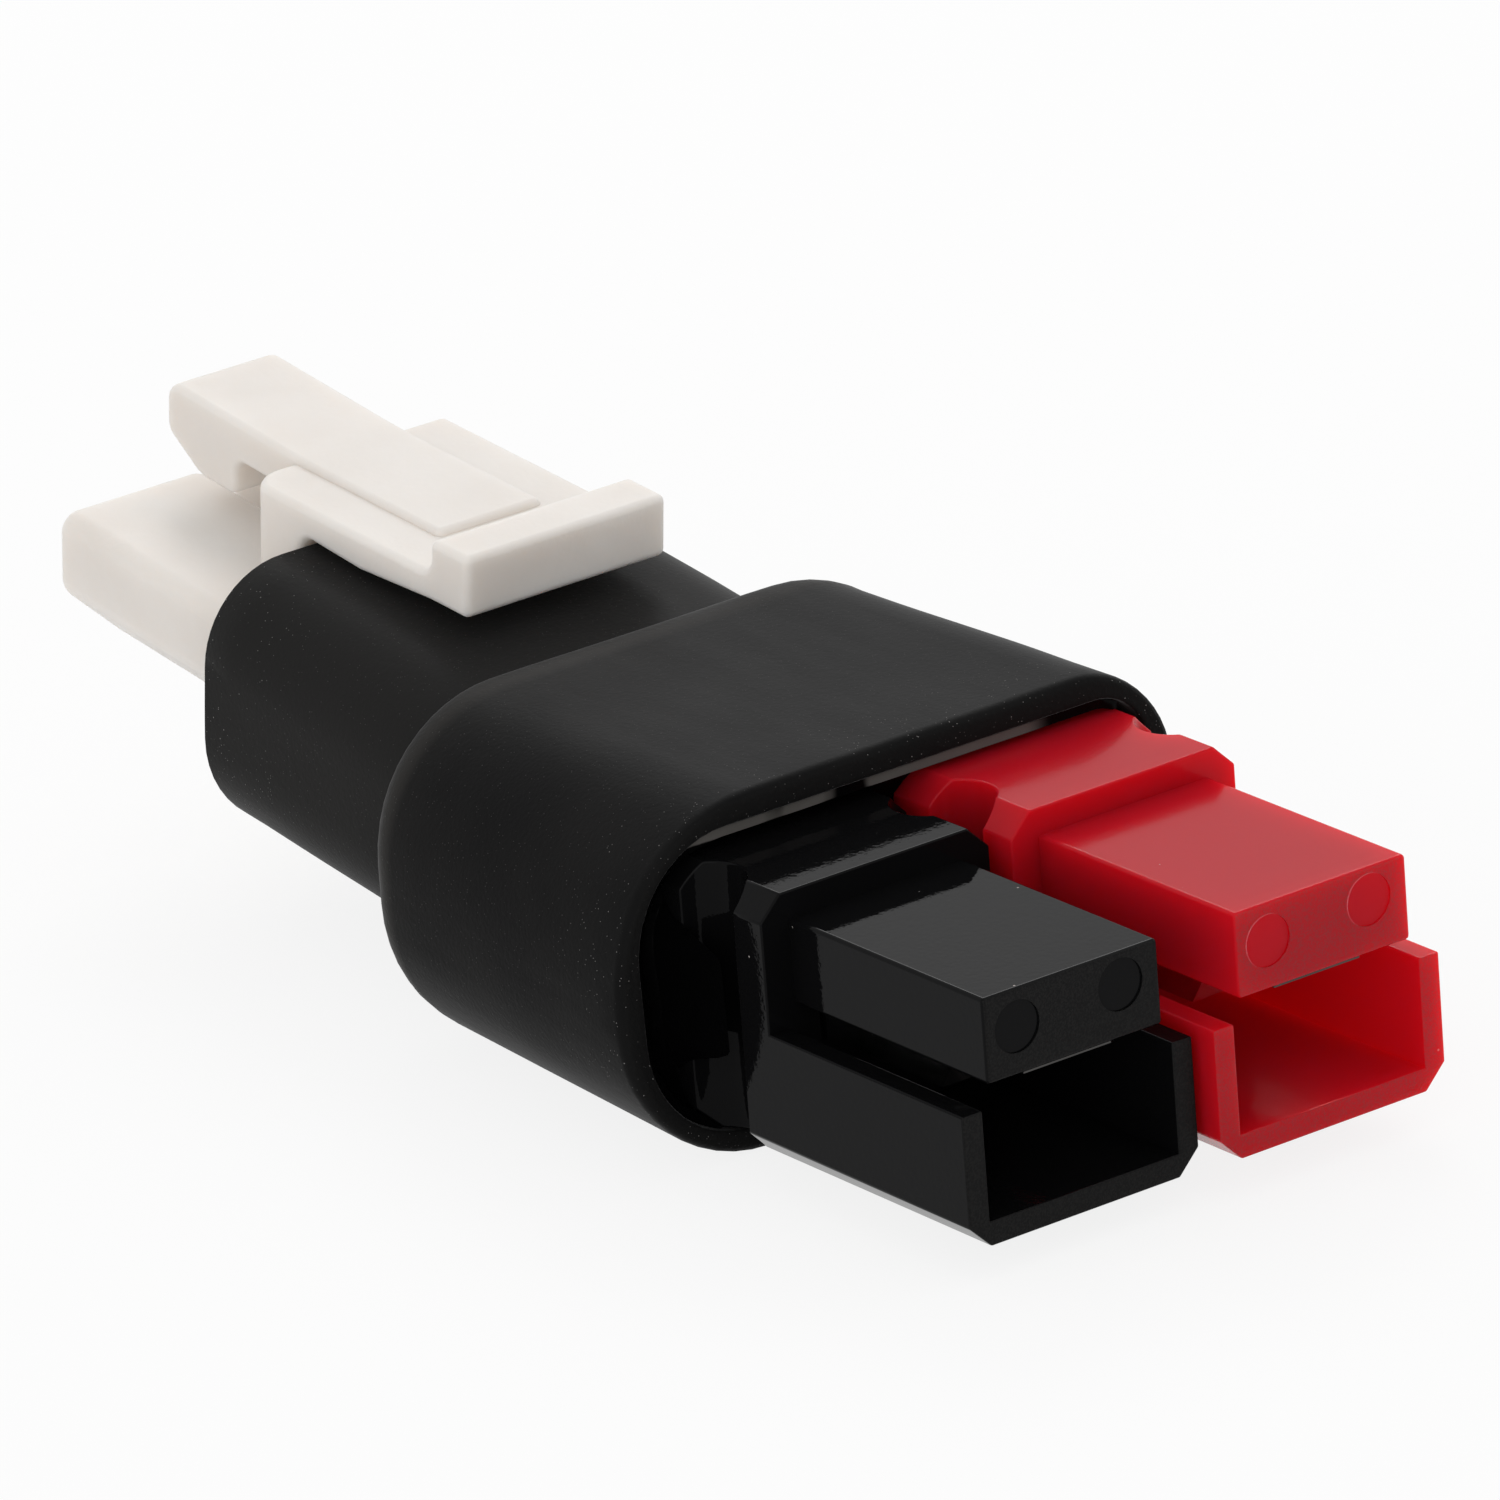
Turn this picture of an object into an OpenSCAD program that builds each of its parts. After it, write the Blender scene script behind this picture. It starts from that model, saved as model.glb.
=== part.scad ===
// Rigid power adapter: two genderless power housings joined to a two-prong battery plug by a shrink tube.
// All sizes in millimetres. +X points out of the power housings, +Z is up, the tube's base rests on Z = 0.

/* [Power housings] */
// Width and height of one power housing
housing_w = 7.9; // [7.6:0.1:9]
// Length of one power housing, from hood front to wire end
housing_l = 24.6; // [23:0.1:28]
// Length of the tongue and hood in front of the body's shoulder
nose_l = 8.6; // [7.6:0.1:9.4]
// Chamfer along the long edges of a housing
edge_chamfer = 0.7; // [0.3:0.05:1]
// Wall of the hood
hood_wall = 0.7; // [0.5:0.05:0.9]
// Height of the hood's side walls
hood_h = 3.95; // [3.2:0.05:4.2]
// Step from the side of the body to the side of the tongue
tongue_side = 0.95; // [0.7:0.05:1.2]
// Step from the top of the body to the top of the tongue
tongue_drop = 0.8; // [0.5:0.05:1]
// Thickness of the tongue
tongue_t = 2.5; // [2.2:0.05:2.7]
// Diameter of the half-round grooves for a locking pin
groove_d = 2.4; // [2:0.1:2.6]
// Distance from the shoulder back to the middle of the grooves
groove_back = 2.5; // [2:0.1:3]

/* [Housing pair] */
// Gap between the two housings
pair_gap = 0.3; // [0.1:0.05:0.6]
// How far the negative housing sits behind the positive one
negative_setback = 0.6; // [0:0.1:1.2]
// How far the negative housing sits below the positive one
negative_drop = 0.2; // [0:0.05:0.4]

/* [Contacts and springs] */
// Width of a contact blade
blade_w = 4.2; // [3.6:0.1:4.4]
// Thickness of a contact blade
blade_t = 0.9; // [0.7:0.05:1.1]
// Distance of a blade's tip behind the front of its hood
blade_setback = 2.8; // [2.6:0.1:3.4]
// Outside diameter of a contact's crimp barrel
barrel_d = 4.2; // [3.6:0.1:4.6]
// Length of a contact's crimp barrel
barrel_l = 7; // [6:0.1:8]
// Distance from the wire end of a housing to the crimp barrel
barrel_inset = 3; // [2:0.1:4]
// Thickness of a leaf spring
spring_t = 0.2; // [0.15:0.01:0.25]
// Height of a leaf spring's bow
spring_bow = 0.13; // [0.08:0.01:0.2]
// Room around a contact in its housing
contact_play = 0.1; // [0.05:0.01:0.15]

/* [Leads] */
// Diameter of a stranded conductor
core_d = 2.2; // [1.8:0.1:2.4]
// Wall of the insulation
insulation_t = 0.5; // [0.4:0.05:0.6]
// Length of lead between the housings and the plug
lead_gap = 4.2; // [3.6:0.1:6]
// Room around a conductor in a crimp and in its insulation
crimp_play = 0.02; // [0.01:0.01:0.04]

/* [Battery plug] */
// Width of the plug's body
plug_w = 12.3; // [12:0.1:14]
// Height of the plug's body
plug_h = 7; // [6.8:0.1:8]
// Length of the plug's body
plug_l = 8.8; // [8.7:0.1:10]
// Rounding of the body's long edges
plug_r = 1.75; // [1:0.05:2]
// Distance between the middles of the two prongs
prong_pitch = 6.2; // [6:0.1:6.8]
// Length of a prong in front of the body
prong_l = 9.2; // [8:0.1:10]
// Width of a prong
prong_w = 5.3; // [4.8:0.1:5.6]
// Height of the prongs' top above the body's middle
prong_top = 2.3; // [2.2:0.05:2.6]
// Depth of the prongs' underside below the body's middle
prong_drop = 2.15; // [2.1:0.05:2.5]
// Rounding of a prong's corners
prong_r = 0.6; // [0.3:0.1:0.9]
// Height of the bevels under the negative prong
keel_h = 2.05; // [1.6:0.05:2.1]

/* [Plug sockets] */
// Height of the sockets' middle above the body's middle
socket_rise = 0.33; // [0.25:0.01:0.4]
// Bore of a pin socket
socket_bore_d = 2.4; // [2:0.1:2.5]
// Wall of a pin socket
socket_wall = 0.35; // [0.3:0.05:0.45]
// Length of a socket's pin bore
socket_bore_l = 7; // [5:0.1:8]
// Length of a socket's crimp barrel
socket_crimp_l = 5.6; // [4:0.1:6]
// Thickness of the prong's front wall, before the socket
prong_front_t = 0.9; // [0.6:0.1:1.2]
// Room around a socket in its prong
socket_play = 0.05; // [0.03:0.01:0.1]

/* [Latch lever] */
// Width of the lever's plate
lever_w = 7.1; // [6:0.1:8]
// Height of the plate's front edge above the body's middle
lever_rise = 5.3; // [5.2:0.05:6]
// Slope of the plate, upwards to its tail
lever_slope = 3; // [1:0.5:5]
// Distance of the lever's tail from the body's wire end
lever_inset = 0.8; // [0.4:0.1:2]
// Thickness of the plate at its tail
tail_t = 0.9; // [0.7:0.05:1.1]
// Length of the finger lip at the tail
lip_l = 1.8; // [1.2:0.1:2.4]
// Height of the finger lip above the plate
lip_h = 1.05; // [0.7:0.05:1.4]
// Width of the hook arm and of the rib behind it
arm_w = 3.7; // [3:0.1:4.4]
// Thickness of the hook arm
arm_t = 1.3; // [1:0.05:1.5]
// Height of the rib above the plate
rib_h = 0.2; // [0.1:0.05:0.4]
// Height of the hook's barb below the arm
barb_h = 1.2; // [0.8:0.05:1.3]
// Length of the hook's barb
barb_l = 3.4; // [2:0.1:4]
// Distance from the body's front to the front of the lever's root
root_reach = 2.8; // [2.7:0.1:3.2]
// Length of the root that joins the lever to the prongs
root_l = 2.6; // [2:0.05:2.7]
// Gap between the lever and the tube below it
lever_gap = 0.1; // [0.05:0.05:0.2]

/* [Shrink tube] */
// Wall of the shrink tube
tube_wall = 0.8; // [0.6:0.05:1]
// Distance from the hood fronts back to the tube's mouth
mouth_back = 12.4; // [12:0.1:14]
// Lean of the mouth, back at its top
mouth_lean = 2.4; // [0:0.2:4]
// Length of the plug's body inside the tube
tube_cover = 8.8; // [8:0.1:8.9]
// Angle between the plug and the housings
bend = 7.4; // [0:0.2:10]
// Room beside the negative housing at the tube's mouth
near_room = 1.65; // [0.6:0.05:2]
// Room beside the negative housing at the wire end
near_room_end = 1; // [0.5:0.05:2]
// Room above the housings
top_room = 0.5; // [0.3:0.05:0.8]
// Room beside the positive housing and below the negative one
side_room = 0.15; // [0.1:0.05:0.4]
// Room between the plug's body and the tube
plug_room = 0.05; // [0.03:0.01:0.1]
// Outside corner rounding of the wide end beside the negative housing
near_r = 5; // [4:0.1:5.1]
// Outside corner rounding of the wide end beside the positive housing
far_r = 3.2; // [2.4:0.1:3.4]
// The same rounding at the wire end
far_r_end = 3.6; // [2.4:0.1:3.6]
// Outside corner rounding of the narrow end, above its negative prong
narrow_r = 2.8; // [2.4:0.1:3]
// Outside rounding of the narrow end's other corners
narrow_soft_r = 3.6; // [2.4:0.1:3.6]
// Length of the shoulder between the wide end and the narrow end
shoulder_l = 3; // [2.4:0.1:3.6]

/* [Adhesive] */
// Depth of the adhesive behind the tube's mouth
adhesive_inset = 0.6; // [0.5:0.1:1]
// Length of the adhesive along the tube
adhesive_l = 6; // [3:0.5:9]
// Thickness of the bond line on each side of the adhesive
bond = 0.03; // [0.02:0.01:0.05]

/* [Hidden] */
$fn = 48;

// Overlap of solids that are one moulding, and overshoot of cuts
seam = 0.5;
// Points on each rounded corner of the tube, and on a lead's round section
corner_steps = 8;
lead_sides = 12;
// Stations along the tube's shoulder, and along a lead's bend
shoulder_steps = 16;
bend_steps = 8;

// Contact stack below the tongue, in a housing's own frame
tongue_low = housing_w - tongue_drop - tongue_t;
spring_seat = 0.01;
blade_top = tongue_low - spring_t - spring_bow - 2 * spring_seat;
contact_z = blade_top - blade_t / 2;
barrel_rear = -housing_l + barrel_inset;
barrel_front = barrel_rear + barrel_l;
barrel_web = 0.8;
blade_bevel = 0.5;
blade_lip = 0.15;
spring_edge = 0.6;
spring_w = blade_w - 2 * spring_edge;
spring_heel = 0.4;
spring_toe = 0.4;
spring_rear = barrel_front + spring_heel;
spring_front = -spring_toe;
spring_steps = 12;
bore_d = barrel_d + 2 * contact_play;

// Sockets and leads, in the plug's own frame with x = 0 at the body's wire end
nose_front = -plug_l - prong_l;
socket_d = socket_bore_d + 2 * socket_wall;
socket_front = nose_front + prong_front_t;
socket_web = 1;
crimp_front = socket_front + socket_bore_l + socket_web;
socket_rear = crimp_front + socket_crimp_l;
pin_room = 0.15;
insulation_d = core_d + 2 * (crimp_play + insulation_t);
entry_room = 0.35;
entry_d = insulation_d + 2 * entry_room;
lead_end_gap = 0.1;
lead_straight = 1.2;
keel_flat = 1;

// Lever, in the plug's own frame
lever_front = -plug_l - root_reach;
lever_tail = -lever_inset;
plate_bevel = 0.4;
plate_front = lever_front + plate_bevel;
tube_top = plug_h / 2 + plug_room + tube_wall;
lever_low = tube_top + lever_gap;
nose_r = 0.5;
nose_steps = 6;
arm_top = lever_rise + rib_h;
arm_low = arm_top - arm_t;
nose_share = 0.25;
ramp_share = 0.48;
under_rise = 3.4;
rib_short = 2;
rib_end = lever_tail - lip_l - rib_short;

// Placing of the housings and of the plug
axis_z = housing_w / 2;
plug_origin = [-housing_l - lead_gap * cos(bend), 0, axis_z + lead_gap * sin(bend)];

// Sections of the tube: near side, far side, low and high, then the rounding near above, far, and near below
wide_near = -housing_w - pair_gap - tube_wall;
wide_far = housing_w + side_room + tube_wall;
wide_low = -negative_drop - side_room - tube_wall - axis_z;
wide_high = housing_w + top_room + tube_wall - axis_z;
narrow_half = plug_w / 2 + plug_room + tube_wall;
corner_ease = 0.1;
corner_thin = 1.2;
near_fit = corner_fit(near_room, side_room);
near_fit_end = corner_fit(near_room_end, side_room);
far_fit = corner_fit(side_room, side_room + negative_drop);
plug_fit = plug_r + plug_room;
mouth_section = wide_section(near_room, near_fit, far_r);
waist_section = wide_section(near_room_end, near_fit_end, far_r_end);
narrow_section = [-narrow_half, narrow_half, -tube_top, tube_top, narrow_r, narrow_soft_r, narrow_soft_r];
mouth_bore = bore_section(mouth_section, near_fit, far_fit);
waist_bore = bore_section(waist_section, near_fit_end, far_fit);
narrow_bore = bore_section(narrow_section, plug_fit, plug_fit);

// Places of the tube's steps, outside and in its bore
rear_room = 0.05;
step_l = 0.7;
shoulder_lead = 0.7;
waist_x = -housing_l - negative_setback;
shoulder_x = waist_x + shoulder_lead;
neck_back = (shoulder_x - shoulder_l - plug_origin[0]) / cos(bend);
bore_back = (waist_x - rear_room - step_l - plug_origin[0]) / cos(bend);

// The part's own origin: middle of its box, at the tube's base
centre_x = plug_point([nose_front, 0, -prong_drop])[0] / 2;
centre_y = (mouth_section[0] + wide_far) / 2;
floor_z = wide_low + axis_z;

// A point of the plug's frame, in the housings' frame
function plug_point(p) =
  plug_origin + [p[0] * cos(bend) + p[2] * sin(bend), p[1], p[2] * cos(bend) - p[0] * sin(bend)];

// Inside rounding that clears a housing's chamfer, with room a beside the housing and b below it
function corner_fit(a, b) = let (c = edge_chamfer)
  a + b + c + sqrt(2 * min((a + c) * b, a * (b + c))) - corner_ease;

// Outside rounding as asked for, where the wall at the corner stays thick enough
function outside_r(asked, fit) = min(asked, fit + tube_wall + corner_thin, (wide_high - wide_low) / 2);

// Outside section of the wide end, and the bore inside a section
function wide_section(room, fit, far) = let (near = outside_r(near_r, fit))
  [wide_near - room, wide_far, wide_low, wide_high, near, outside_r(far, far_fit), near];

function bore_section(s, near, far) =
  [s[0] + tube_wall, s[1] - tube_wall, s[2] + tube_wall, s[3] - tube_wall, near, far, near];

// A value or a list between two others
function between(a, b, t) = a + (b - a) * t;

// Points round a section whose corners are arcs
function section_points(s) = [
  for (corner = [[s[1] - s[5], s[3] - s[5], s[5], 0], [s[0] + s[4], s[3] - s[4], s[4], 90],
                 [s[0] + s[6], s[2] + s[6], s[6], 180], [s[1] - s[5], s[2] + s[5], s[5], 270]])
    for (i = [0 : corner_steps])
      let (a = corner[3] + 90 * i / corner_steps)
      [corner[0] + corner[2] * cos(a), corner[1] + corner[2] * sin(a)]
];

// A section moved in from its outline
function inset_section(s, in) =
  [s[0] + in, s[1] - in, s[2] + in, s[3] - in, s[4] - in, s[5] - in, s[6] - in];

// A section set up square to the tube's path, at a place and with a tilt
function ring(place, tilt, section) = [
  for (p = section_points(section)) place + [p[1] * sin(tilt), p[0], p[1] * cos(tilt)]
];

// Rings of the tube's leaning mouth, of its straight wide end and of its narrow end
function mouth_ring(section) = [
  for (p = section_points(section)) [-mouth_back - (p[1] - wide_low) * tan(mouth_lean), p[0], axis_z + p[1]]
];

function wide_ring(x, section) = ring([x, 0, axis_z], 0, section);

function narrow_ring(back, section) = ring(plug_point([back, 0, 0]), bend, section);

// Rings of the shoulder: over a round rim, down a step and into a hollow
function shoulder_ring(angle) = let (
  along = angle <= 90 ? sin(angle) / 2 : 1 - sin(angle) / 2, down = (1 - cos(angle)) / 2,
  place = between([shoulder_x, 0, axis_z], plug_point([neck_back, 0, 0]), along)
) ring(place, bend * down, between(waist_section, narrow_section, down));

outside_rings = concat(
  [mouth_ring(mouth_section), wide_ring(shoulder_x, waist_section)],
  [for (i = [1 : shoulder_steps]) shoulder_ring(180 * i / shoulder_steps)],
  [narrow_ring(-tube_cover, narrow_section)]
);

bore_rings = [
  mouth_ring(mouth_bore), wide_ring(waist_x - rear_room, waist_bore),
  narrow_ring(bore_back, narrow_bore), narrow_ring(-tube_cover, narrow_bore)
];

// Faces between ring a and ring b of n points
function band(a, b, n) = [
  for (i = [0 : n - 1])
    let (j = (i + 1) % n)
    each [[a * n + i, b * n + i, b * n + j], [a * n + i, b * n + j, a * n + j]]
];

function reversed(list) = [for (i = [len(list) - 1 : -1 : 0]) list[i]];

// A solid over rings, closed by flat ends
module skin(rings) {
  n = len(rings[0]);
  last = len(rings) - 1;
  polyhedron(
    points = [for (ring = rings) each ring],
    faces = concat(
      [[for (i = [0 : n - 1]) i]],
      [for (k = [0 : last - 1]) each band(k, k + 1, n)],
      [[for (i = [n - 1 : -1 : 0]) last * n + i]]
    )
  );
}

// A pipe between outer and inner rings
module pipe(outer, inner) {
  rings = concat(outer, reversed(inner));
  n = len(rings[0]);
  count = len(rings);
  polyhedron(
    points = [for (ring = rings) each ring],
    faces = [for (k = [0 : count - 1]) each band(k, (k + 1) % count, n)]
  );
}

// Route of a lead through its bend, from a crimp barrel in a housing to a socket in the plug
function bend_point(a, b, t) = let (
  reach = norm(b - a), out = [-reach, 0, 0], into = reach * [-cos(bend), 0, sin(bend)]
) (2 * t * t * t - 3 * t * t + 1) * a + (t * t * t - 2 * t * t + t) * out
  + (3 * t * t - 2 * t * t * t) * b + (t * t * t - t * t) * into;

function lead_route(start, axis, side, stop) = let (
  a = [-housing_l + lead_straight, axis[1], axis[2]] + [axis[0], 0, 0],
  b = plug_point([-lead_straight, side * prong_pitch / 2, socket_rise])
) concat(
  [[start + axis[0], axis[1], axis[2]]],
  [for (i = [0 : bend_steps]) bend_point(a, b, i / bend_steps)],
  [plug_point([stop, side * prong_pitch / 2, socket_rise])]
);

// Round sections square to a route, with their corners at radius r
function route_rings(route, r) = let (last = len(route) - 1) [
  for (k = [0 : last])
    let (
      ahead = route[min(k + 1, last)] - route[max(k - 1, 0)],
      along = ahead / norm(ahead),
      across = cross(along, [0, 0, 1]) / norm(cross(along, [0, 0, 1])),
      up = cross(across, along)
    )
    [for (i = [0 : lead_sides - 1])
      let (a = 360 * (i + 0.5) / lead_sides)
      route[k] + r * (cos(a) * across + sin(a) * up)]
];

// Middle of each contact's axis: set back, sideways and height
negative_axis = [-negative_setback, -housing_w / 2 - pair_gap, contact_z - negative_drop];
positive_axis = [0, housing_w / 2, contact_z];

// Extrusions along the housings and across them
module along_x(from, to) {
  translate([from, 0, 0]) rotate([90, 0, 90]) linear_extrude(to - from) children();
}

module across_y(width) {
  rotate([90, 0, 0]) linear_extrude(width, center = true) children();
}

module rod_x(from, to, d) {
  translate([from, 0, 0]) rotate([0, 90, 0]) cylinder(d = d, h = to - from);
}

module rounded_box(w, h, r) {
  square([w - 2 * r, h], center = true);
  square([w, h - 2 * r], center = true);
  for (y = [-1, 1], z = [-1, 1])
    translate([y * (w / 2 - r), z * (h / 2 - r)]) circle(r);
}

// Frames of the pieces
module in_part() {
  translate([-centre_x, -centre_y, -floor_z]) children();
}

module in_negative() {
  in_part() translate([-negative_setback, -housing_w / 2 - pair_gap, -negative_drop]) children();
}

module in_positive() {
  in_part() translate([0, housing_w / 2, 0]) children();
}

module in_plug() {
  in_part() translate(plug_origin) rotate([0, bend, 0]) children();
}

module at_prong(side) {
  translate([0, side * prong_pitch / 2, 0]) children();
}

module at_socket(side) {
  at_prong(side) translate([0, 0, socket_rise]) children();
}

// Chamfered square section of a housing, grown on all sides
module housing_section(grow = 0) {
  side = housing_w / 2 + grow;
  flat = side - edge_chamfer;
  translate([0, housing_w / 2])
    polygon([[flat, -side], [side, -flat], [side, flat], [flat, side],
             [-flat, side], [-side, flat], [-side, -flat], [-flat, -side]]);
}

module hood_section() {
  inner = housing_w - 2 * hood_wall;
  difference() {
    intersection() {
      housing_section();
      translate([-housing_w / 2, 0]) square([housing_w, hood_h]);
    }
    translate([-inner / 2, hood_wall]) square([inner, hood_h]);
  }
}

module tongue_section() {
  width = housing_w - 2 * tongue_side;
  translate([-width / 2, tongue_low]) square([width, tongue_t]);
}

// Way through a housing for its contact: round behind, a slot in front
module contact_cavity() {
  slot_w = blade_w + 2 * contact_play;
  slot_low = contact_z - blade_t / 2 - contact_play;
  translate([0, 0, contact_z]) rod_x(-housing_l - seam, barrel_front + contact_play, bore_d);
  translate([barrel_front - seam, -slot_w / 2, slot_low])
    cube([-nose_l - barrel_front + 2 * seam, slot_w, tongue_low - slot_low]);
}

module power_housing() {
  difference() {
    union() {
      along_x(-housing_l, -nose_l) housing_section();
      along_x(-nose_l - seam, 0) tongue_section();
    }
    contact_cavity();
    for (side = [-1, 1])
      translate([-nose_l - groove_back, side * housing_w / 2, -seam])
        cylinder(d = groove_d, h = housing_w + 2 * seam);
  }
  along_x(-nose_l, 0) hood_section();
}

module power_contact() {
  difference() {
    union() {
      translate([0, 0, contact_z]) rod_x(barrel_rear, barrel_front, barrel_d);
      across_y(blade_w)
        polygon([[barrel_front - barrel_web, blade_top], [barrel_front - barrel_web, blade_top - blade_t],
                 [-blade_setback - blade_bevel, blade_top - blade_t],
                 [-blade_setback, blade_top - blade_lip], [-blade_setback, blade_top]]);
    }
    translate([0, 0, contact_z])
      rod_x(barrel_rear - seam, barrel_front - barrel_web, core_d + 2 * crimp_play);
  }
}

// Bowed leaf between the blade and the tongue
function leaf_low(t) = blade_top + spring_seat + spring_bow * pow(2 * t - 1, 2);

module leaf_spring() {
  low = [for (i = [0 : spring_steps])
    [between(spring_rear, spring_front, i / spring_steps), leaf_low(i / spring_steps)]];
  across_y(spring_w)
    polygon(concat(low, reversed([for (p = low) p + [0, spring_t]])));
}

module conductor(axis, side) {
  start = barrel_front - barrel_web - lead_end_gap;
  skin(route_rings(lead_route(start, axis, side, crimp_front + lead_end_gap), core_d / 2));
}

module insulation(axis, side) {
  route = lead_route(barrel_rear - lead_end_gap, axis, side, socket_rear + lead_end_gap);
  inner_r = (core_d / 2 + crimp_play) / cos(180 / lead_sides);
  pipe(route_rings(route, insulation_d / 2), route_rings(route, inner_r));
}

module pin_socket() {
  difference() {
    rod_x(socket_front, socket_rear, socket_d);
    rod_x(socket_front - seam, socket_front + socket_bore_l, socket_bore_d);
    rod_x(crimp_front, socket_rear + seam, core_d + 2 * crimp_play);
  }
}

module prong_section() {
  translate([0, (prong_top - prong_drop) / 2]) rounded_box(prong_w, prong_top + prong_drop, prong_r);
}

// Prong with bevels underneath, for the negative lead
module keeled_prong_section() {
  side = prong_w / 2;
  shelf = keel_h - prong_drop;
  intersection() {
    prong_section();
    polygon([[-side, prong_top], [-side, shelf], [-keel_flat / 2, -prong_drop],
             [keel_flat / 2, -prong_drop], [side, shelf], [side, prong_top]]);
  }
}

// Plate and root of the lever, seen from the side
function plate_top(x) = lever_rise + tan(lever_slope) * (x - plate_front);

module lever_profile() {
  polygon([
    [lever_front, prong_top - seam], [lever_front, lever_rise - plate_bevel], [plate_front, lever_rise],
    [lever_tail, plate_top(lever_tail)], [lever_tail, plate_top(lever_tail) - tail_t],
    [lever_tail - lip_l, plate_top(lever_tail - lip_l) - tail_t],
    [lever_tail - lip_l - under_rise, lever_low], [lever_front + root_l, lever_low],
    [lever_front + root_l, prong_top - seam]
  ]);
}

module lip_profile() {
  front = lever_tail - lip_l;
  polygon([
    [front, plate_top(front) - tail_t / 2], [front, plate_top(front) + lip_h],
    [lever_tail, plate_top(lever_tail) + lip_h], [lever_tail, plate_top(lever_tail) - tail_t / 2]
  ]);
}

module rib_profile() {
  polygon([
    [lever_front, arm_low], [lever_front, arm_top], [plate_front, arm_top],
    [rib_end, plate_top(rib_end) + rib_h], [rib_end + rib_h, plate_top(rib_end)],
    [rib_end, plate_top(rib_end) - tail_t / 2], [plate_front, arm_low]
  ]);
}

// Arm with a rounded nose, a ramp and a barb behind it
module arm_profile() {
  polygon(concat(
    [[lever_front + seam, arm_low], [lever_front + seam, arm_top]],
    [for (i = [0 : nose_steps])
      let (a = 90 * i / nose_steps)
      [nose_front + nose_r * (1 - sin(a)), arm_top - nose_r * (1 - cos(a))]],
    [[nose_front, arm_low - nose_share * barb_h], [nose_front + ramp_share * barb_l, arm_low - barb_h],
     [nose_front + barb_l, arm_low - barb_h], [nose_front + barb_l, arm_low]]
  ));
}

module plug_body() {
  along_x(-plug_l, 0) rounded_box(plug_w, plug_h, plug_r);
  at_prong(-1) along_x(nose_front, -plug_l + seam) keeled_prong_section();
  at_prong(1) along_x(nose_front, -plug_l + seam) prong_section();
}

module latch_lever() {
  across_y(lever_w) lever_profile();
  across_y(lever_w) lip_profile();
  across_y(arm_w) rib_profile();
  across_y(arm_w) arm_profile();
}

module negative_housing() { color([0.04, 0.04, 0.045]) in_negative() power_housing(); }
module positive_housing() { color([0.75, 0.08, 0.1]) in_positive() power_housing(); }
module negative_contact() { color("silver") in_negative() power_contact(); }
module positive_contact() { color("silver") in_positive() power_contact(); }
module negative_spring() { color("dimgray") in_negative() leaf_spring(); }
module positive_spring() { color("dimgray") in_positive() leaf_spring(); }
module negative_conductor() { color("peru") in_part() conductor(negative_axis, -1); }
module positive_conductor() { color("peru") in_part() conductor(positive_axis, 1); }
module negative_insulation() { color([0.1, 0.1, 0.1]) in_part() insulation(negative_axis, -1); }
module positive_insulation() { color("firebrick") in_part() insulation(positive_axis, 1); }

module plug_housing() {
  color([0.93, 0.92, 0.9]) in_plug() difference() {
    union() {
      plug_body();
      latch_lever();
    }
    for (side = [-1, 1]) at_socket(side) {
      rod_x(nose_front - seam, 0, socket_bore_d + 2 * pin_room);
      rod_x(socket_front - socket_play, 0, socket_d + 2 * socket_play);
      rod_x(socket_rear, seam, entry_d);
    }
  }
}

module negative_socket() { color("goldenrod") in_plug() at_socket(-1) pin_socket(); }
module positive_socket() { color("goldenrod") in_plug() at_socket(1) pin_socket(); }

module shrink_tube() {
  color([0.07, 0.07, 0.07]) in_part() pipe(outside_rings, bore_rings);
}

// Lining beside and above the housings and between them, not below them or on the far side
module adhesive() {
  span = -mouth_back - waist_x;
  under = [-housing_l, -housing_w - pair_gap + edge_chamfer, -housing_w];
  color([0.16, 0.15, 0.14]) in_part() difference() {
    skin([for (depth = [adhesive_inset, adhesive_inset + adhesive_l])
      wide_ring(-mouth_back - depth, inset_section(between(mouth_bore, waist_bore, depth / span), bond))]);
    translate([-negative_setback, -housing_w / 2 - pair_gap, -negative_drop])
      along_x(-housing_l, 0) housing_section(bond);
    translate([0, housing_w / 2, 0]) along_x(-housing_l, 0) housing_section(bond);
    translate(under) cube([housing_l, 3 * housing_w, housing_w]);
    translate([-housing_l, housing_w - edge_chamfer, -seam]) cube([housing_l, housing_w, 2 * housing_w]);
  }
}

negative_housing();
positive_housing();
negative_contact();
positive_contact();
negative_spring();
positive_spring();
negative_conductor();
positive_conductor();
negative_insulation();
positive_insulation();
plug_housing();
negative_socket();
positive_socket();
shrink_tube();
adhesive();
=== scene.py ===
"""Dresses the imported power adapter: power housings, battery plug, shrink tube and its adhesive lining."""
import logging
import math
from dataclasses import astuple, dataclass
from enum import Enum
from typing import Any, Callable, Protocol, Sequence

import bmesh
import bpy
from mathutils import Matrix, Vector, noise


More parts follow.
